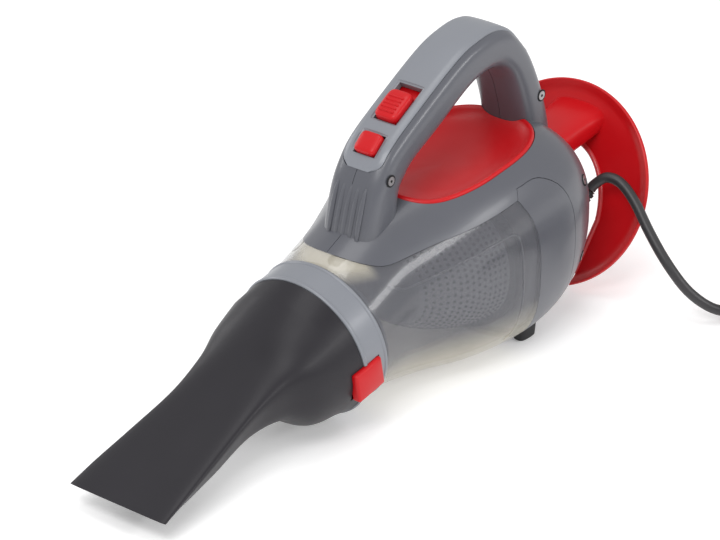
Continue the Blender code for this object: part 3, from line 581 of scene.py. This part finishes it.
def cup(name, front, rear, inset, wall, material, fold=0.0):
    """A cup that opens to the rear. A fold above zero draws every other part of its wall in, as pleats."""
    outer = []
    inner = []
    for step in range(23):
        along = front + (rear - front) * (step / 22) ** 1.3
        width, height, lift = cage_profile(along)
        ring = []
        for k, (y, z) in enumerate(superellipse(width - inset, height - inset, CAGE_POWER, CAGE_COUNT)):
            draw = 1.0 - fold * (k % 4 < 2)
            ring.append((station(along), y * draw * MM, (lift + z * draw) * MM))
        outer.append(ring)
        within = inset + wall + 0.8
        thin = superellipse(width - within, height - within, CAGE_POWER, CAGE_COUNT)
        inner.append([(station(max(along, front + wall)), y * MM, (lift + z) * MM) for y, z in thin])
    width, height, lift = cage_profile(front)
    nose = []
    for depth, share in ((-3.0, 0.0), (-2.2, 0.45), (-1.0, 0.8)):
        half_width, half_height = (width - inset) * share + 0.5, (height - inset) * share + 0.5
        oval = superellipse(half_width, half_height, CAGE_POWER, CAGE_COUNT)
        nose.append([(station(front + depth), y * MM, (lift + z) * MM) for y, z in oval])
    return loft(name, nose + outer + inner[::-1], material)


def stamped(name, points, facings, material, radius, depth, sides=10):
    """A small round piece at each point, standing along its facing, laid out by Geometry Nodes."""
    mesh = bpy.data.meshes.new(name)
    mesh.from_pydata([tuple(point) for point in points], [], [])
    facing = mesh.attributes.new("facing", "FLOAT_VECTOR", "POINT")
    for item, value in zip(facing.data, facings):
        item.vector = value
    group = bpy.data.node_groups.new(name, "GeometryNodeTree")
    face = group.interface
    face.new_socket("Points", in_out="INPUT", socket_type="NodeSocketGeometry")
    face.new_socket("Geometry", in_out="OUTPUT", socket_type="NodeSocketGeometry")
    wanted = (("Radius", "NodeSocketFloat", radius), ("Depth", "NodeSocketFloat", depth),
              ("Sides", "NodeSocketInt", sides), ("Material", "NodeSocketMaterial", material))
    sockets = [face.new_socket(label, in_out="INPUT", socket_type=kind) for label, kind, _ in wanted]
    make = group.nodes.new
    link = group.links.new
    source, result = make("NodeGroupInput"), make("NodeGroupOutput")
    stud, where = make("GeometryNodeMeshCylinder"), make("GeometryNodeInputNamedAttribute")
    turn = make("FunctionNodeAlignRotationToVector")
    copies, real, paint = (make("GeometryNode" + kind) for kind in ("InstanceOnPoints", "RealizeInstances",
                                                                    "SetMaterial"))
    where.data_type = "FLOAT_VECTOR"
    where.inputs["Name"].default_value = "facing"
    link(source.outputs["Radius"], stud.inputs["Radius"])
    link(source.outputs["Depth"], stud.inputs["Depth"])
    link(source.outputs["Sides"], stud.inputs["Vertices"])
    link(where.outputs["Attribute"], turn.inputs["Vector"])
    link(source.outputs["Points"], copies.inputs["Points"])
    link(stud.outputs["Mesh"], copies.inputs["Instance"])
    link(turn.outputs["Rotation"], copies.inputs["Rotation"])
    link(copies.outputs["Instances"], real.inputs["Geometry"])
    link(real.outputs["Geometry"], paint.inputs["Geometry"])
    link(source.outputs["Material"], paint.inputs["Material"])
    link(paint.outputs["Geometry"], result.inputs["Geometry"])
    obj = bpy.data.objects.new(name, mesh)
    bpy.context.scene.collection.objects.link(obj)
    modifier = obj.modifiers.new("stamp", "NODES")
    modifier.node_group = group
    for socket, (_, _, value) in zip(sockets, wanted):
        modifier[socket.identifier] = value
    plain(obj)
    if not obj.data.materials:
        obj.data.materials.append(material)
    return obj


cage_grey = moulded("cage_grey_plastic", (0.27, 0.275, 0.30), 0.45)
cloth_white = Paint("filter_cloth", (0.62, 0.60, 0.54), 0.92)
weave = cloth_white.noise(900.0, 2.0)
stain = cloth_white.noise(35.0)
cloth_white.feed("Base Color", cloth_white.mix(stain, (0.50, 0.48, 0.42), (0.68, 0.66, 0.61)))
cloth_white.feed("Roughness", weave * 0.1 + 0.85)
cloth_white.bump(weave, 0.08 * MM)
# Near-black painted shade, for the cage's holes and for the screws' wells and slots.
hole_shade = Paint("hole_shadow", (0.006, 0.006, 0.007), 0.9)
hole_shade.feed("Roughness", hole_shade.noise(200.0) * 0.1 + 0.85)

cage = cup("cage", FILTER_FRONT, FRAME_FRONT - 0.3, 0.0, 1.8, cage_grey)
stands_for(cage, "filter", "mid_grey", "prefilter_cage")
cloth = cup("cloth_pleats", FILTER_FRONT + 8, FRAME_FRONT - 0.3, 6.5, 3.0, cloth_white.material, 0.08)
stands_for(cloth, "filter", "filter_cloth", "pleated_filter")

spots = []
facings = []
for row in range(HOLE_ROWS):
    along = FILTER_FRONT + 3.0 + row * HOLE_PITCH
    width, height, lift = cage_profile(along)
    count = int(2 * math.pi * (width + height) / 2 / HOLE_SPACING)
    for k in range(count):
        angle = 2 * math.pi * (k + 0.5 * (row % 2)) / count
        c, h = math.cos(angle), math.sin(angle)
        y = math.copysign(abs(c) ** (2 / CAGE_POWER), c)
        z = math.copysign(abs(h) ** (2 / CAGE_POWER), h)
        spots.append(at(along, width * y, lift + height * z))
        outward = Vector((0.0, c / width, h / height)).normalized()
        facings.append(outward + Vector((-0.35, 0.0, 0.0)))
holes = stamped("cage_holes", spots, facings, hole_shade.material, 0.95 * MM, 0.4 * MM, 8)
stands_for(holes, "filter", "black")

# ------------------------------------------------------------------ housing and handle
# The upper body, the arched handle and the rear end are two grey mouldings that meet on the middle plane. The
# front of the handle's foot carries upright flutes.

HANDLE = [
    ((176.0, 84.0), (208.0, 84.0)),
    ((177.5, 96.0), (207.0, 97.0)),
    ((183.0, 114.0), (208.0, 112.0)),
    ((189.5, 126.5), (212.5, 118.5)),
    ((201.0, 139.0), (219.5, 124.5)),
    ((226.0, 154.0), (238.5, 134.0)),
    ((256.0, 169.5), (262.0, 147.0)),
    ((273.0, 174.5), (275.0, 151.5)),
    ((289.0, 175.5), (288.0, 152.0)),
    ((303.0, 170.0), (296.5, 148.0)),
    ((318.0, 154.0), (303.0, 140.0)),
    ((330.0, 131.0), (308.5, 126.0)),
    ((337.0, 111.0), (312.0, 112.0)),
    ((341.0, 94.0), (314.0, 94.0)),
]
HANDLE_WIDTH = 34.0 * MM
COVER_WIDTH = 26.0 * MM
COVER_DEPTH = 4.0 * MM
DECK_MIDDLE = 263.0
DECK_HALF_LENGTH = 54.5
DECK_HALF_WIDTH = 38.0
DECK_BASE = 100.0
DECK_POWER = 2.5
HANDLE_WALL = 3.4 * MM
FLUTE_PITCH = 4.6 * MM


def handle_line(first=0, last=None, steps=6):
    """Matching outer and inner points of the handle's side view."""
    pairs = smooth([(*outer, *inner) for outer, inner in HANDLE[first:last]], steps)
    return [(at(a, 0, b), at(c, 0, d)) for a, b, c, d in pairs]


def handle_rings(inset=0.0, count=72):
    """Rings round the handle, each square across its side view."""
    rings = []
    for a, b in handle_line():
        along = (a - b) / 2
        ring = []
        for y, h in superellipse(HANDLE_WIDTH / 2 - inset, along.length - inset, 3.4, count):
            ring.append((a + b) / 2 + along.normalized() * h + Vector((0, y, 0)))
        rings.append(ring)
    return rings


def handle_strip(first, last, depth, width, growth=0.0, rise=0.4 * MM, steps=10):
    """A strip along the handle's top with a crowned face and a rounded front end."""
    rings = []
    line = handle_line(first, last, steps)
    for a, b in line:
        down = (b - a).normalized()
        back = max(0.0, 1 - (a - line[0][0]).length / (9 * MM))
        reach = width / 2 * (1 - 0.42 * back ** 3) + growth
        ring = []
        for k in range(17):
            u = k / 8 - 1
            drop = 0.5 * MM * u * u + 0.9 * MM * max(0.0, abs(u) - 0.86) / 0.14
            ring.append(a - down * (rise - drop * (rise < MM)) + Vector((0, reach * u, 0)))
        low = a + down * (depth + growth)
        rings.append(ring + [low + Vector((0, reach, 0)), low - Vector((0, reach, 0))])
    return rings


def body_top(along, y):
    """Height of the body's outside at a station and a distance from its middle plane, in mm."""
    _, half_width, low, high, upper, _, _ = body_row(along)
    share = (1 - (abs(y) / half_width) ** upper) ** (1 / upper)
    return (low + high) / 2 + (high - low) / 2 * share


def deck_ring(scale, drop, growth=0.0, base=None):
    """An oval inside the deck's outline, at a drop below the body's outside under the outline."""
    rim = superellipse(DECK_HALF_WIDTH, DECK_HALF_LENGTH, DECK_POWER)
    half_width, half_length = DECK_HALF_WIDTH * scale + growth, DECK_HALF_LENGTH * scale + growth
    oval = superellipse(half_width, half_length, DECK_POWER)
    ring = []
    for (y, u), (far_y, far_u) in zip(oval, rim):
        height = base if base is not None else body_top(DECK_MIDDLE + far_u, far_y) - drop
        ring.append((station(DECK_MIDDLE + u), y * MM, height * MM))
    return ring


def deck_seat(name):
    """The space that the deck takes in the body, with its clearance."""
    return loft(name, [deck_ring(1.0, 0, 0.3, DECK_BASE - 0.3), deck_ring(1.0, 0, 0.3, 124.0)])


def on_handle(along):
    """Place on the handle's outer line, and the direction out of it, at a station."""
    line = [a for a, _ in handle_line(3, 9, 16)]
    for here, beyond in zip(line, line[1:]):
        if here.x <= station(along) <= beyond.x:
            run = (beyond - here).normalized()
            share = (station(along) - here.x) / (beyond.x - here.x)
            return here.lerp(beyond, share), Vector((-run.z, 0, run.x))
    return None


grey = moulded("mid_grey_plastic", (0.088, 0.091, 0.107), 0.32, coat=0.15, speck=0.05)
for side, name in ((-1, "housing_right"), (1, "housing_left")):
    half = body_shell(name + "_shell", grey)
    carve(half, slab("lower", LOWER_REGION, GAP / 2))
    carve(half, deck_seat("deck_seat"))
    grip = loft("grip", handle_rings())
    depths = [WALL / 2 if row[0] < 250 else 9 * MM for row in BODY_ROWS[:-5]]
    carve(grip, loft("inside", [body_ring(row, depth) for row, depth in zip(BODY_ROWS, depths)]))
    carve(half, grip, "UNION")
    carve(half, loft("core", handle_rings(HANDLE_WALL, 48)))
    carve(half, loft("cover_seat", handle_strip(3, 11, COVER_DEPTH, COVER_WIDTH, GAP, 6 * MM)))
    near, far = (GAP / 2, 0.1) if side > 0 else (-0.1, -GAP / 2)
    whole = [(station(100), -0.02), (station(400), -0.02), (station(400), 0.2), (station(100), 0.2)]
    carve(half, slab("side", whole, 0.0, near, far), "INTERSECT")
    recoat(half, grey)
    stands_for(half, "housing", "mid_grey", name)

foot = [a for a, _ in handle_line(0, 4, 8)][4:20]
flutes = None
for column in range(-2, 3):
    rings = []
    for k, place in enumerate(foot):
        run = (foot[min(k + 1, len(foot) - 1)] - foot[max(k - 1, 0)]).normalized()
        out = Vector((-run.z, 0, run.x))
        taper = math.sin(math.pi * (k + 0.6) / (len(foot) + 0.2)) ** 0.5
        middle = place + Vector((0, column * FLUTE_PITCH, 0)) - out * 0.25 * MM
        section = superellipse(1.5 * MM * taper, MM * taper, 2, 16)
        rings.append([middle + Vector((0, y, 0)) + out * h for y, h in section])
    rib = loft("flute", rings, grey)
    flutes = carve(flutes, rib, "UNION") if flutes else rib
flutes.name = "handle_flutes"
stands_for(flutes, "housing", "mid_grey")

# ------------------------------------------------------------------ belly cover and deck
# A grey band closes the body under and behind the bowl, and its rear edge is an arc. A red scooped tray with
# a raised lip is let into the top, under the handle.

belly = body_shell("belly_shell", grey)
carve(belly, slab("belly_region", BELLY_REGION, -GAP / 2), "INTERSECT")
recoat(belly, grey)
stands_for(belly, "housing", "mid_grey", "belly_cover")

lip = [(0.05, 6.5), (0.2, 6.4), (0.4, 6.0), (0.6, 5.3), (0.74, 4.4), (0.84, 2.9), (0.895, 1.3), (0.92, 0.1),
       (0.94, -0.8), (0.955, -1.2), (0.97, -1.3), (0.985, -1.0), (0.995, -0.4), (1.0, 0.6)]
SCOOP_LEVEL = 109.0 * MM  # height that the rim's rise and fall fade to, towards the tray's middle


def tray_ring(scale, drop):
    """One ring of the tray's top, flatter the nearer it lies to the middle."""
    ring = []
    for x, y, z in deck_ring(scale, 0.0):
        ring.append((x, y, SCOOP_LEVEL + (z - SCOOP_LEVEL) * scale ** 1.5 - drop * MM))
    return ring


rings = [tray_ring(scale, drop) for scale, drop in lip]
rings += [deck_ring(1.0, 0, 0, DECK_BASE), deck_ring(0.86, 0, 0, DECK_BASE)]
rings += [tray_ring(0.8, 8.4), tray_ring(0.4, 8.8)]
tray = loft("tray", rings, scarlet)
carve(tray, loft("notch", handle_rings(-GAP, 48)))
recoat(tray, scarlet)
stands_for(tray, "housing", "red", "deck")

# ------------------------------------------------------------------ handle strip, switch and button
# A pale strip is let into the handle's top. It frames the ribbed red power switch, with a red dust skirt
# under it, and the smaller red button that frees the bowl.


def on_grip(obj, along, depth, shift=0.0):
    """Sets an object on the handle's top at a station, its Z out of the surface and its X up the slope."""
    place, out = on_handle(along)
    run = Vector((out.z, 0, -out.x))
    turn = Matrix((run, Vector((0, 1, 0)), out)).transposed()
    return set_down(obj, turn, place - out * depth + run * shift)


BUTTON_STATION = 199.0
SWITCH_STATION = 220.0
SWITCH_TRAVEL = 6.0 * MM
BUTTON_SIZE = (12.5 * MM, 13.5 * MM, 8 * MM)
SWITCH_SIZE = (19 * MM, 14.5 * MM, 7 * MM)
insert = loft("insert", handle_strip(3, 11, COVER_DEPTH, COVER_WIDTH), pale)
for size, along, travel in ((BUTTON_SIZE, BUTTON_STATION, 0.0), (SWITCH_SIZE, SWITCH_STATION, SWITCH_TRAVEL)):
    window = block("window", (size[0] + 2 * GAP + travel, size[1] + 2 * GAP, 20 * MM))
    carve(insert, on_grip(window, along, 0, travel / 2))
for along, length, shift in ((BUTTON_STATION, 16.0, 0.0), (SWITCH_STATION, 28.2, SWITCH_TRAVEL / 2)):
    carve(insert, on_grip(block("recess", (length * MM, 18 * MM, 4 * MM), 1.5 * MM), along, -1.3 * MM, shift))
stands_for(insert, "housing", "light_grey", "handle_cover")


def domed(name, size, rise, material):
    """A rounded block whose top swells in the middle."""
    loops = []
    shoulder = [(1.0, -1.0), (1.0, 0.55), (0.985, 0.75), (0.94, 0.9), (0.86, 0.97), (0.7, 1.0), (0.45, 1.02)]
    for share, height in shoulder:
        swell = rise * (1 - share * share)
        loops.append([(x, y, size[2] / 2 * height + swell)
                      for x, y in superellipse(size[0] / 2 * share, size[1] / 2 * share, 5.0, 80)])
    return loft(name, loops, material)


button = domed("button", BUTTON_SIZE, 0.7 * MM, scarlet)
well = [(-6 * MM, 0.0), (-6 * MM, 5.2 * MM), (0.4 * MM, 5.2 * MM), (0.4 * MM, 0.0)]
carve(button, turned("spring_well", well, Vector(), (0, 0, 1), scarlet, 48))
stands_for(on_grip(button, BUTTON_STATION, 2.0 * MM), "button", "red", "release_button")
slider = domed("slider", SWITCH_SIZE, 1.0 * MM, scarlet)
stands_for(on_grip(slider, SWITCH_STATION, 0.5 * MM), "switch", "red", "power_switch")
place, out = on_handle(SWITCH_STATION)
run = Vector((out.z, 0, -out.x))
marks = [place + out * 3.7 * MM + run * (step * 2.4 - 1.0) * MM for step in (-2, -1, 0, 1, 2)]
ridges = stamped("switch_ridges", marks, [Vector((0, 1, 0))] * 5, scarlet, 0.62 * MM, 9.5 * MM, 14)
stands_for(ridges, "switch", "red")

skirt = block("skirt", (33 * MM, 17.5 * MM, 0.8 * MM), 0.2 * MM, scarlet, 2)
stands_for(on_grip(skirt, SWITCH_STATION, 5.3 * MM), "switch", "red")

# ------------------------------------------------------------------ cord flange
# A tilted red horseshoe behind the body, on a neck from its top, with the start of the cord in front of it.
# Its rim rolls forward and a raised lip runs round its arch, painted a paler red as a highlight.

FLANGE_RADIUS = 58.4 * MM
FLANGE_LEAN = math.radians(22.0)
FLANGE_UP = Vector((math.sin(FLANGE_LEAN), 0, math.cos(FLANGE_LEAN)))
FLANGE_OUT = Vector((-math.cos(FLANGE_LEAN), 0, math.sin(FLANGE_LEAN)))
FLANGE_TURN = Matrix((Vector((0, -1, 0)), FLANGE_UP, FLANGE_OUT)).transposed()
FLANGE_MIDDLE = at(371.0, 0.0, 51.5)
ARCH_HALF_WIDTH = 28.0 * MM
ARCH_SPRING = -14.0 * MM
ARCH_TOP = 24.0 * MM


def arch_line(growth=0.0, foot=-70.0 * MM, steps=40):
    """The edge of the flange's opening, which is open at its foot."""
    points = [(-22 * MM - growth, foot)]
    for k in range(steps + 1):
        angle = math.pi - math.pi * k / steps
        rise = (ARCH_TOP - ARCH_SPRING + growth) * math.sin(angle)
        points.append(((ARCH_HALF_WIDTH + growth) * math.cos(angle), ARCH_SPRING + rise))
    return points + [(22 * MM + growth, foot)]


def in_plane(points, depth):
    """Points of the flange's own plane, at a depth in front of it."""
    return [FLANGE_MIDDLE + FLANGE_TURN @ Vector((u, v, depth)) for u, v in points]


rim = FLANGE_RADIUS / MM
profile = [(-1.5, 0.0), (-1.5, rim - 6.0), (-0.6, rim - 4.4), (1.2, rim - 1.2), (2.5, rim), (3.4, rim + 0.05),
           (4.2, rim - 0.2), (4.5, rim - 0.8), (4.2, rim - 1.5), (2.6, rim - 4.0), (1.6, rim - 6.0),
           (1.4, rim - 7.5), (1.4, 0.0)]
disc = turned("disc", [(a * MM, b * MM) for a, b in profile[::-1]], FLANGE_MIDDLE, FLANGE_OUT, scarlet, 180)
carve(disc, loft("arch", [in_plane(arch_line(), depth) for depth in (-20 * MM, 20 * MM)]))
NECK = [(334, 70, 89, 15), (352, 72, 91, 15), (372, 76, 94, 16), (387.5, 80, 96, 18)]
rings = []
for along, low, high, half_width in smooth(NECK, 6):
    ring = []
    for y, z in superellipse(half_width * MM, (high - low) / 2 * MM, 3.0, 64):
        ring.append((station(along) + z * math.tan(FLANGE_LEAN) * 0.9, y, (low + high) / 2 * MM + z))
    rings.append(ring)
carve(disc, loft("neck", rings), "UNION")
carve(disc, body_seat())
recoat(disc, scarlet)
stands_for(disc, "housing", "red", "cord_flange")

# The lip's paler red is a painted highlight on the arch's rolled edge.
lip_highlight_red = moulded("lip_highlight_plastic", (0.50, 0.03, 0.035), 0.36, coat=0.25)
bead = []
path = arch_line(1.6 * MM, -46.0 * MM, 60)
for k, (u, v) in enumerate(path):
    before, after = path[max(k - 1, 0)], path[min(k + 1, len(path) - 1)]
    along = Vector((after[0] - before[0], after[1] - before[1])).normalized()
    side = Vector((along.y, -along.x))
    ring = []
    for a, b in superellipse(1.5 * MM, 1.5 * MM, 2.0, 16):
        ring.append(FLANGE_MIDDLE + FLANGE_TURN @ Vector((u + side.x * a, v + side.y * a, 1.3 * MM + b)))
    bead.append(ring)
lip_bead = loft("arch_lip", bead, lip_highlight_red)
carve(lip_bead, body_seat())
stands_for(lip_bead, "housing", "red")

# ------------------------------------------------------------------ strain relief, feet and screws
# A ribbed rubber sleeve carries the cord out of the body. Two rubber feet stand under the belly, and four
# screws close the halves of the housing from the right.

rubber = moulded("black_rubber", (0.016, 0.016, 0.017), 0.72, grain=0.03)
RELIEF_BASE = at(346.0, -21.0, 46.0)
RELIEF_RUN = Vector((0.52, -0.42, 0.74)).normalized()
RELIEF_LENGTH = 20.0 * MM
RIB_PITCH = 2.8 * MM
GROOVE_DEPTH = 0.9 * MM
sleeve = [(0.0, 0.0), (0.0, 6.2 * MM), (5.6 * MM, 5.7 * MM)]
for k in range(5):
    start = 6.0 * MM + k * RIB_PITCH
    size = (5.5 - 0.36 * k) * MM
    sleeve += [(start, size), (start + 1.5 * MM, size), (start + 1.8 * MM, size - GROOVE_DEPTH),
               (start + 2.6 * MM, size - GROOVE_DEPTH)]
sleeve += [(RELIEF_LENGTH, 3.7 * MM), (RELIEF_LENGTH, 0.0)]
relief = turned("relief", sleeve, RELIEF_BASE, RELIEF_RUN, rubber, 48)
carve(relief, body_seat())
recoat(relief, rubber)
stands_for(relief, "housing", "soft_black", "strain_relief")

FOOT_STATION = 288
FOOT_SIDE = 37 * MM
for side, name in ((-1, "foot_right"), (1, "foot_left")):
    rings = []
    for height, half_x, half_y in ((0.0, 5.6, 2.6), (0.3, 6.1, 3.1), (1.0, 6.8, 3.8), (16.0, 8.0, 5.0)):
        ring = []
        for x, y in superellipse(half_x * MM, half_y * MM, 3.0, 64):
            ring.append((station(FOOT_STATION) + x, side * FOOT_SIDE + y, height * MM))
        rings.append(ring)
    stud = loft(name + "_stud", rings, rubber)
    carve(stud, body_seat())
    recoat(stud, rubber)
    stands_for(stud, "housing", "soft_black", name)

zinc = Paint("zinc_screw", (0.42, 0.42, 0.43), 0.34, Metallic=1.0)
zinc.feed("Roughness", zinc.noise(500.0) * 0.2 + 0.26)
spots = [on_body(along, height, -1, 0.05 * MM) for along, height in ((322, 40), (325, 84))]
handle_side = -HANDLE_WIDTH / MM / 2 - 0.05
spots += [(at(along, handle_side, height), Vector((0, -1, 0))) for along, height in ((326, 125), (196, 122))]
screws = [[place for place, _ in spots], [facing for _, facing in spots]]
# The wells round the screw heads and the slots in them are dark discs of painted shade.
wells = stamped("screw_wells", *screws, hole_shade.material, 3.4 * MM, 0.3 * MM, 32)
heads = stamped("screw_heads", *screws, zinc.material, 2.5 * MM, 0.7 * MM, 32)
slots = stamped("screw_slots", *screws, hole_shade.material, 1.0 * MM, 0.9 * MM, 4)
stands_for(wells, "housing", "black")
stands_for(heads, "housing", "steel")
stands_for(slots, "housing", "black")

# ------------------------------------------------------------------ parts that keep their CAD shape
# The inner parts, the spring, the cord's tie and the car plug keep the CAD's shape and take a procedural
# material each, by what they are made of.

black = moulded("black_plastic", (0.018, 0.017, 0.019), 0.42, coat=0.1)
steel = Paint("brushed_steel", (0.50, 0.50, 0.50), 0.3, Metallic=1.0)
steel.feed("Roughness", steel.noise(30.0, 3.0, (1.0, 40.0, 40.0)) * 0.2 + 0.22)
steel.bump(steel.noise(60.0, 3.0, (1.0, 30.0, 30.0)), 0.01 * MM)
nickel = Paint("nickel_plate", (0.62, 0.58, 0.50), 0.22, Metallic=1.0)
nickel.feed("Roughness", nickel.noise(400.0) * 0.14 + 0.18)
KEPT = [
    (pale, "inlet_plate", "cord_tie"),
    (cage_grey, "motor_bulkhead", "motor_plate"),
    (black, "filter_frame", "switch_block", "bowl_catch", "impeller", "motor_end_cap", "plug_body",
     "plug_cap"),
    (rubber, "flap_valve", "filter_seal", "plug_relief"),
    (steel.material, "flap_pin", "button_spring", "motor_shaft", "motor_can"),
    (nickel.material, "plug_tip", "plug_contact_right", "plug_contact_left"),
]
for finish, *names in KEPT:
    for name in names:
        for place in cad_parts[name].material_slots:
            place.material = finish

# ------------------------------------------------------------------ cord
# One lead of black PVC about five metres long and 6 mm thick. It leaves the strain relief behind the body,
# rises in front of the flange and drops to the floor beside it. The spare length is wound in four layers,
# under a tie.

CORD_RADIUS = 3.0 * MM
LAY_PITCH = 6.15 * MM  # between turns that lie side by side or on each other
LEAD = [
    (362.0, -36.8, 68.6), (363.2, -45.5, 67.2), (361.8, -56.0, 59.5), (358.0, -69.0, 46.5),
    (355.5, -83.0, 33.0), (358.0, -96.0, 19.0), (366.0, -107.0, 9.0), (378.0, -114.0, 4.6),
    (392.0, -116.0, 3.5),
]


def ease(u, start, stop):
    """A smooth step from 0 to 1 between two values of u."""
    t = min(1.0, max(0.0, (u - start) / (stop - start)))
    return t * t * (3 - 2 * t)


COIL_LOW, COIL_HIGH = [Vector(corner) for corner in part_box("cord_coil")]
COIL_CENTRE = (COIL_LOW + COIL_HIGH) / 2
COIL_OUTER = (COIL_HIGH.x - COIL_LOW.x) / 2
COIL_MEAN = COIL_OUTER - 16 * MM  # radius of the middle column of turns
ARRIVE_ANGLE = math.radians(100)
EDGE_RADIUS = COIL_OUTER + CORD_RADIUS + 0.4 * MM  # at which the cord comes to the coil and leaves it
ARRIVE_HEIGHT = 3.4 * MM
LEAVE_HEIGHT = 11.0 * MM
LAST_SHARE = 0.53  # of a turn, after which the cord runs to the plug
LAYERS = [(4, 3, 2, 1), (0, 1, 2, 3, 4), (4, 3, 2, 1, 0), (0, 1, 2, 3, 4)]
PER_TURN = 30


def coil_turns():
    """The wound part: each layer steps sideways in one sector of the coil and climbs in the next."""
    stops = [(column, row) for row, columns in enumerate(LAYERS) for column in columns]
    stops.append((4, len(LAYERS)))
    points = []
    for turn, (column, row) in enumerate(stops):
        last = turn == len(stops) - 1
        after = (column, row) if last else stops[turn + 1]
        for step in range(PER_TURN):
            u = step / PER_TURN
            if last and u > LAST_SHARE:
                break
            side = ease(u, 0.70, 0.80) if after[1] == row else ease(u, 0.78, 0.87)
            climb = ease(u, 0.87, 0.99)
            radius = COIL_MEAN + (column - 2 + (after[0] - column) * side) * LAY_PITCH
            height = COIL_LOW.z + CORD_RADIUS + 0.2 * MM + (row + (after[1] - row) * climb) * LAY_PITCH
            if turn == 0:
                radius += (EDGE_RADIUS - radius) * (1 - ease(u, 0.0, 0.14))
                height += (ARRIVE_HEIGHT - height) * (1 - ease(u, 0.0, 0.14))
            if last:
                radius += (EDGE_RADIUS - radius) * ease(u, 0.05, 0.26)
                height += (LEAVE_HEIGHT - height) * ease(u, 0.26, LAST_SHARE)
            angle = ARRIVE_ANGLE - 2 * math.pi * u
            across, aside = radius * math.cos(angle), radius * math.sin(angle)
            points.append((COIL_CENTRE.x + across, COIL_CENTRE.y + aside, height))
    return points


cord_exit = RELIEF_BASE + RELIEF_RUN * (RELIEF_LENGTH + 0.6 * MM)
lead = [cord_exit, cord_exit + RELIEF_RUN * 4 * MM] + [at(*point) for point in LEAD]
coil = coil_turns()
relief_low, relief_high = [Vector(corner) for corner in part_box("plug_relief")]
plug_end = (relief_low + relief_high) / 2
plug_end.x = relief_high.x + 0.3 * MM
tail = [plug_end + Vector((12 * MM, 0.1 * MM, 0)), plug_end]
wound = [np.array(point) for point in coil[:-1]]
route = smooth(lead + [coil[0]], 5)[:-1] + wound + smooth([coil[-1]] + tail, 5)
cord_length = sum(float(np.linalg.norm(b - a)) for a, b in zip(route, route[1:]))

vinyl = Paint("cord_vinyl", (0.022, 0.02, 0.022), 0.42, Coat_Weight=0.15, Coat_Roughness=0.3)
vinyl.feed("Base Color", vinyl.mix(vinyl.noise(40.0), (0.017, 0.016, 0.018), (0.03, 0.027, 0.029)))
vinyl.feed("Roughness", vinyl.noise(300.0) * 0.2 + 0.36)
vinyl.bump(vinyl.noise(1500.0, 2.0), 0.02 * MM)

curve = bpy.data.curves.new("power_cord", "CURVE")
curve.dimensions = "3D"
spline = curve.splines.new("POLY")
spline.points.add(len(route) - 1)
for target, point in zip(spline.points, route):
    target.co = (*point, 1.0)
curve.bevel_depth = CORD_RADIUS
curve.bevel_resolution = 3
curve.use_fill_caps = True
curve.materials.append(vinyl.material)
power_cord = bpy.data.objects.new("power_cord", curve)
bpy.context.scene.collection.objects.link(power_cord)
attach(power_cord, "housing")
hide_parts("cord", "cord_tail", "cord_coil")
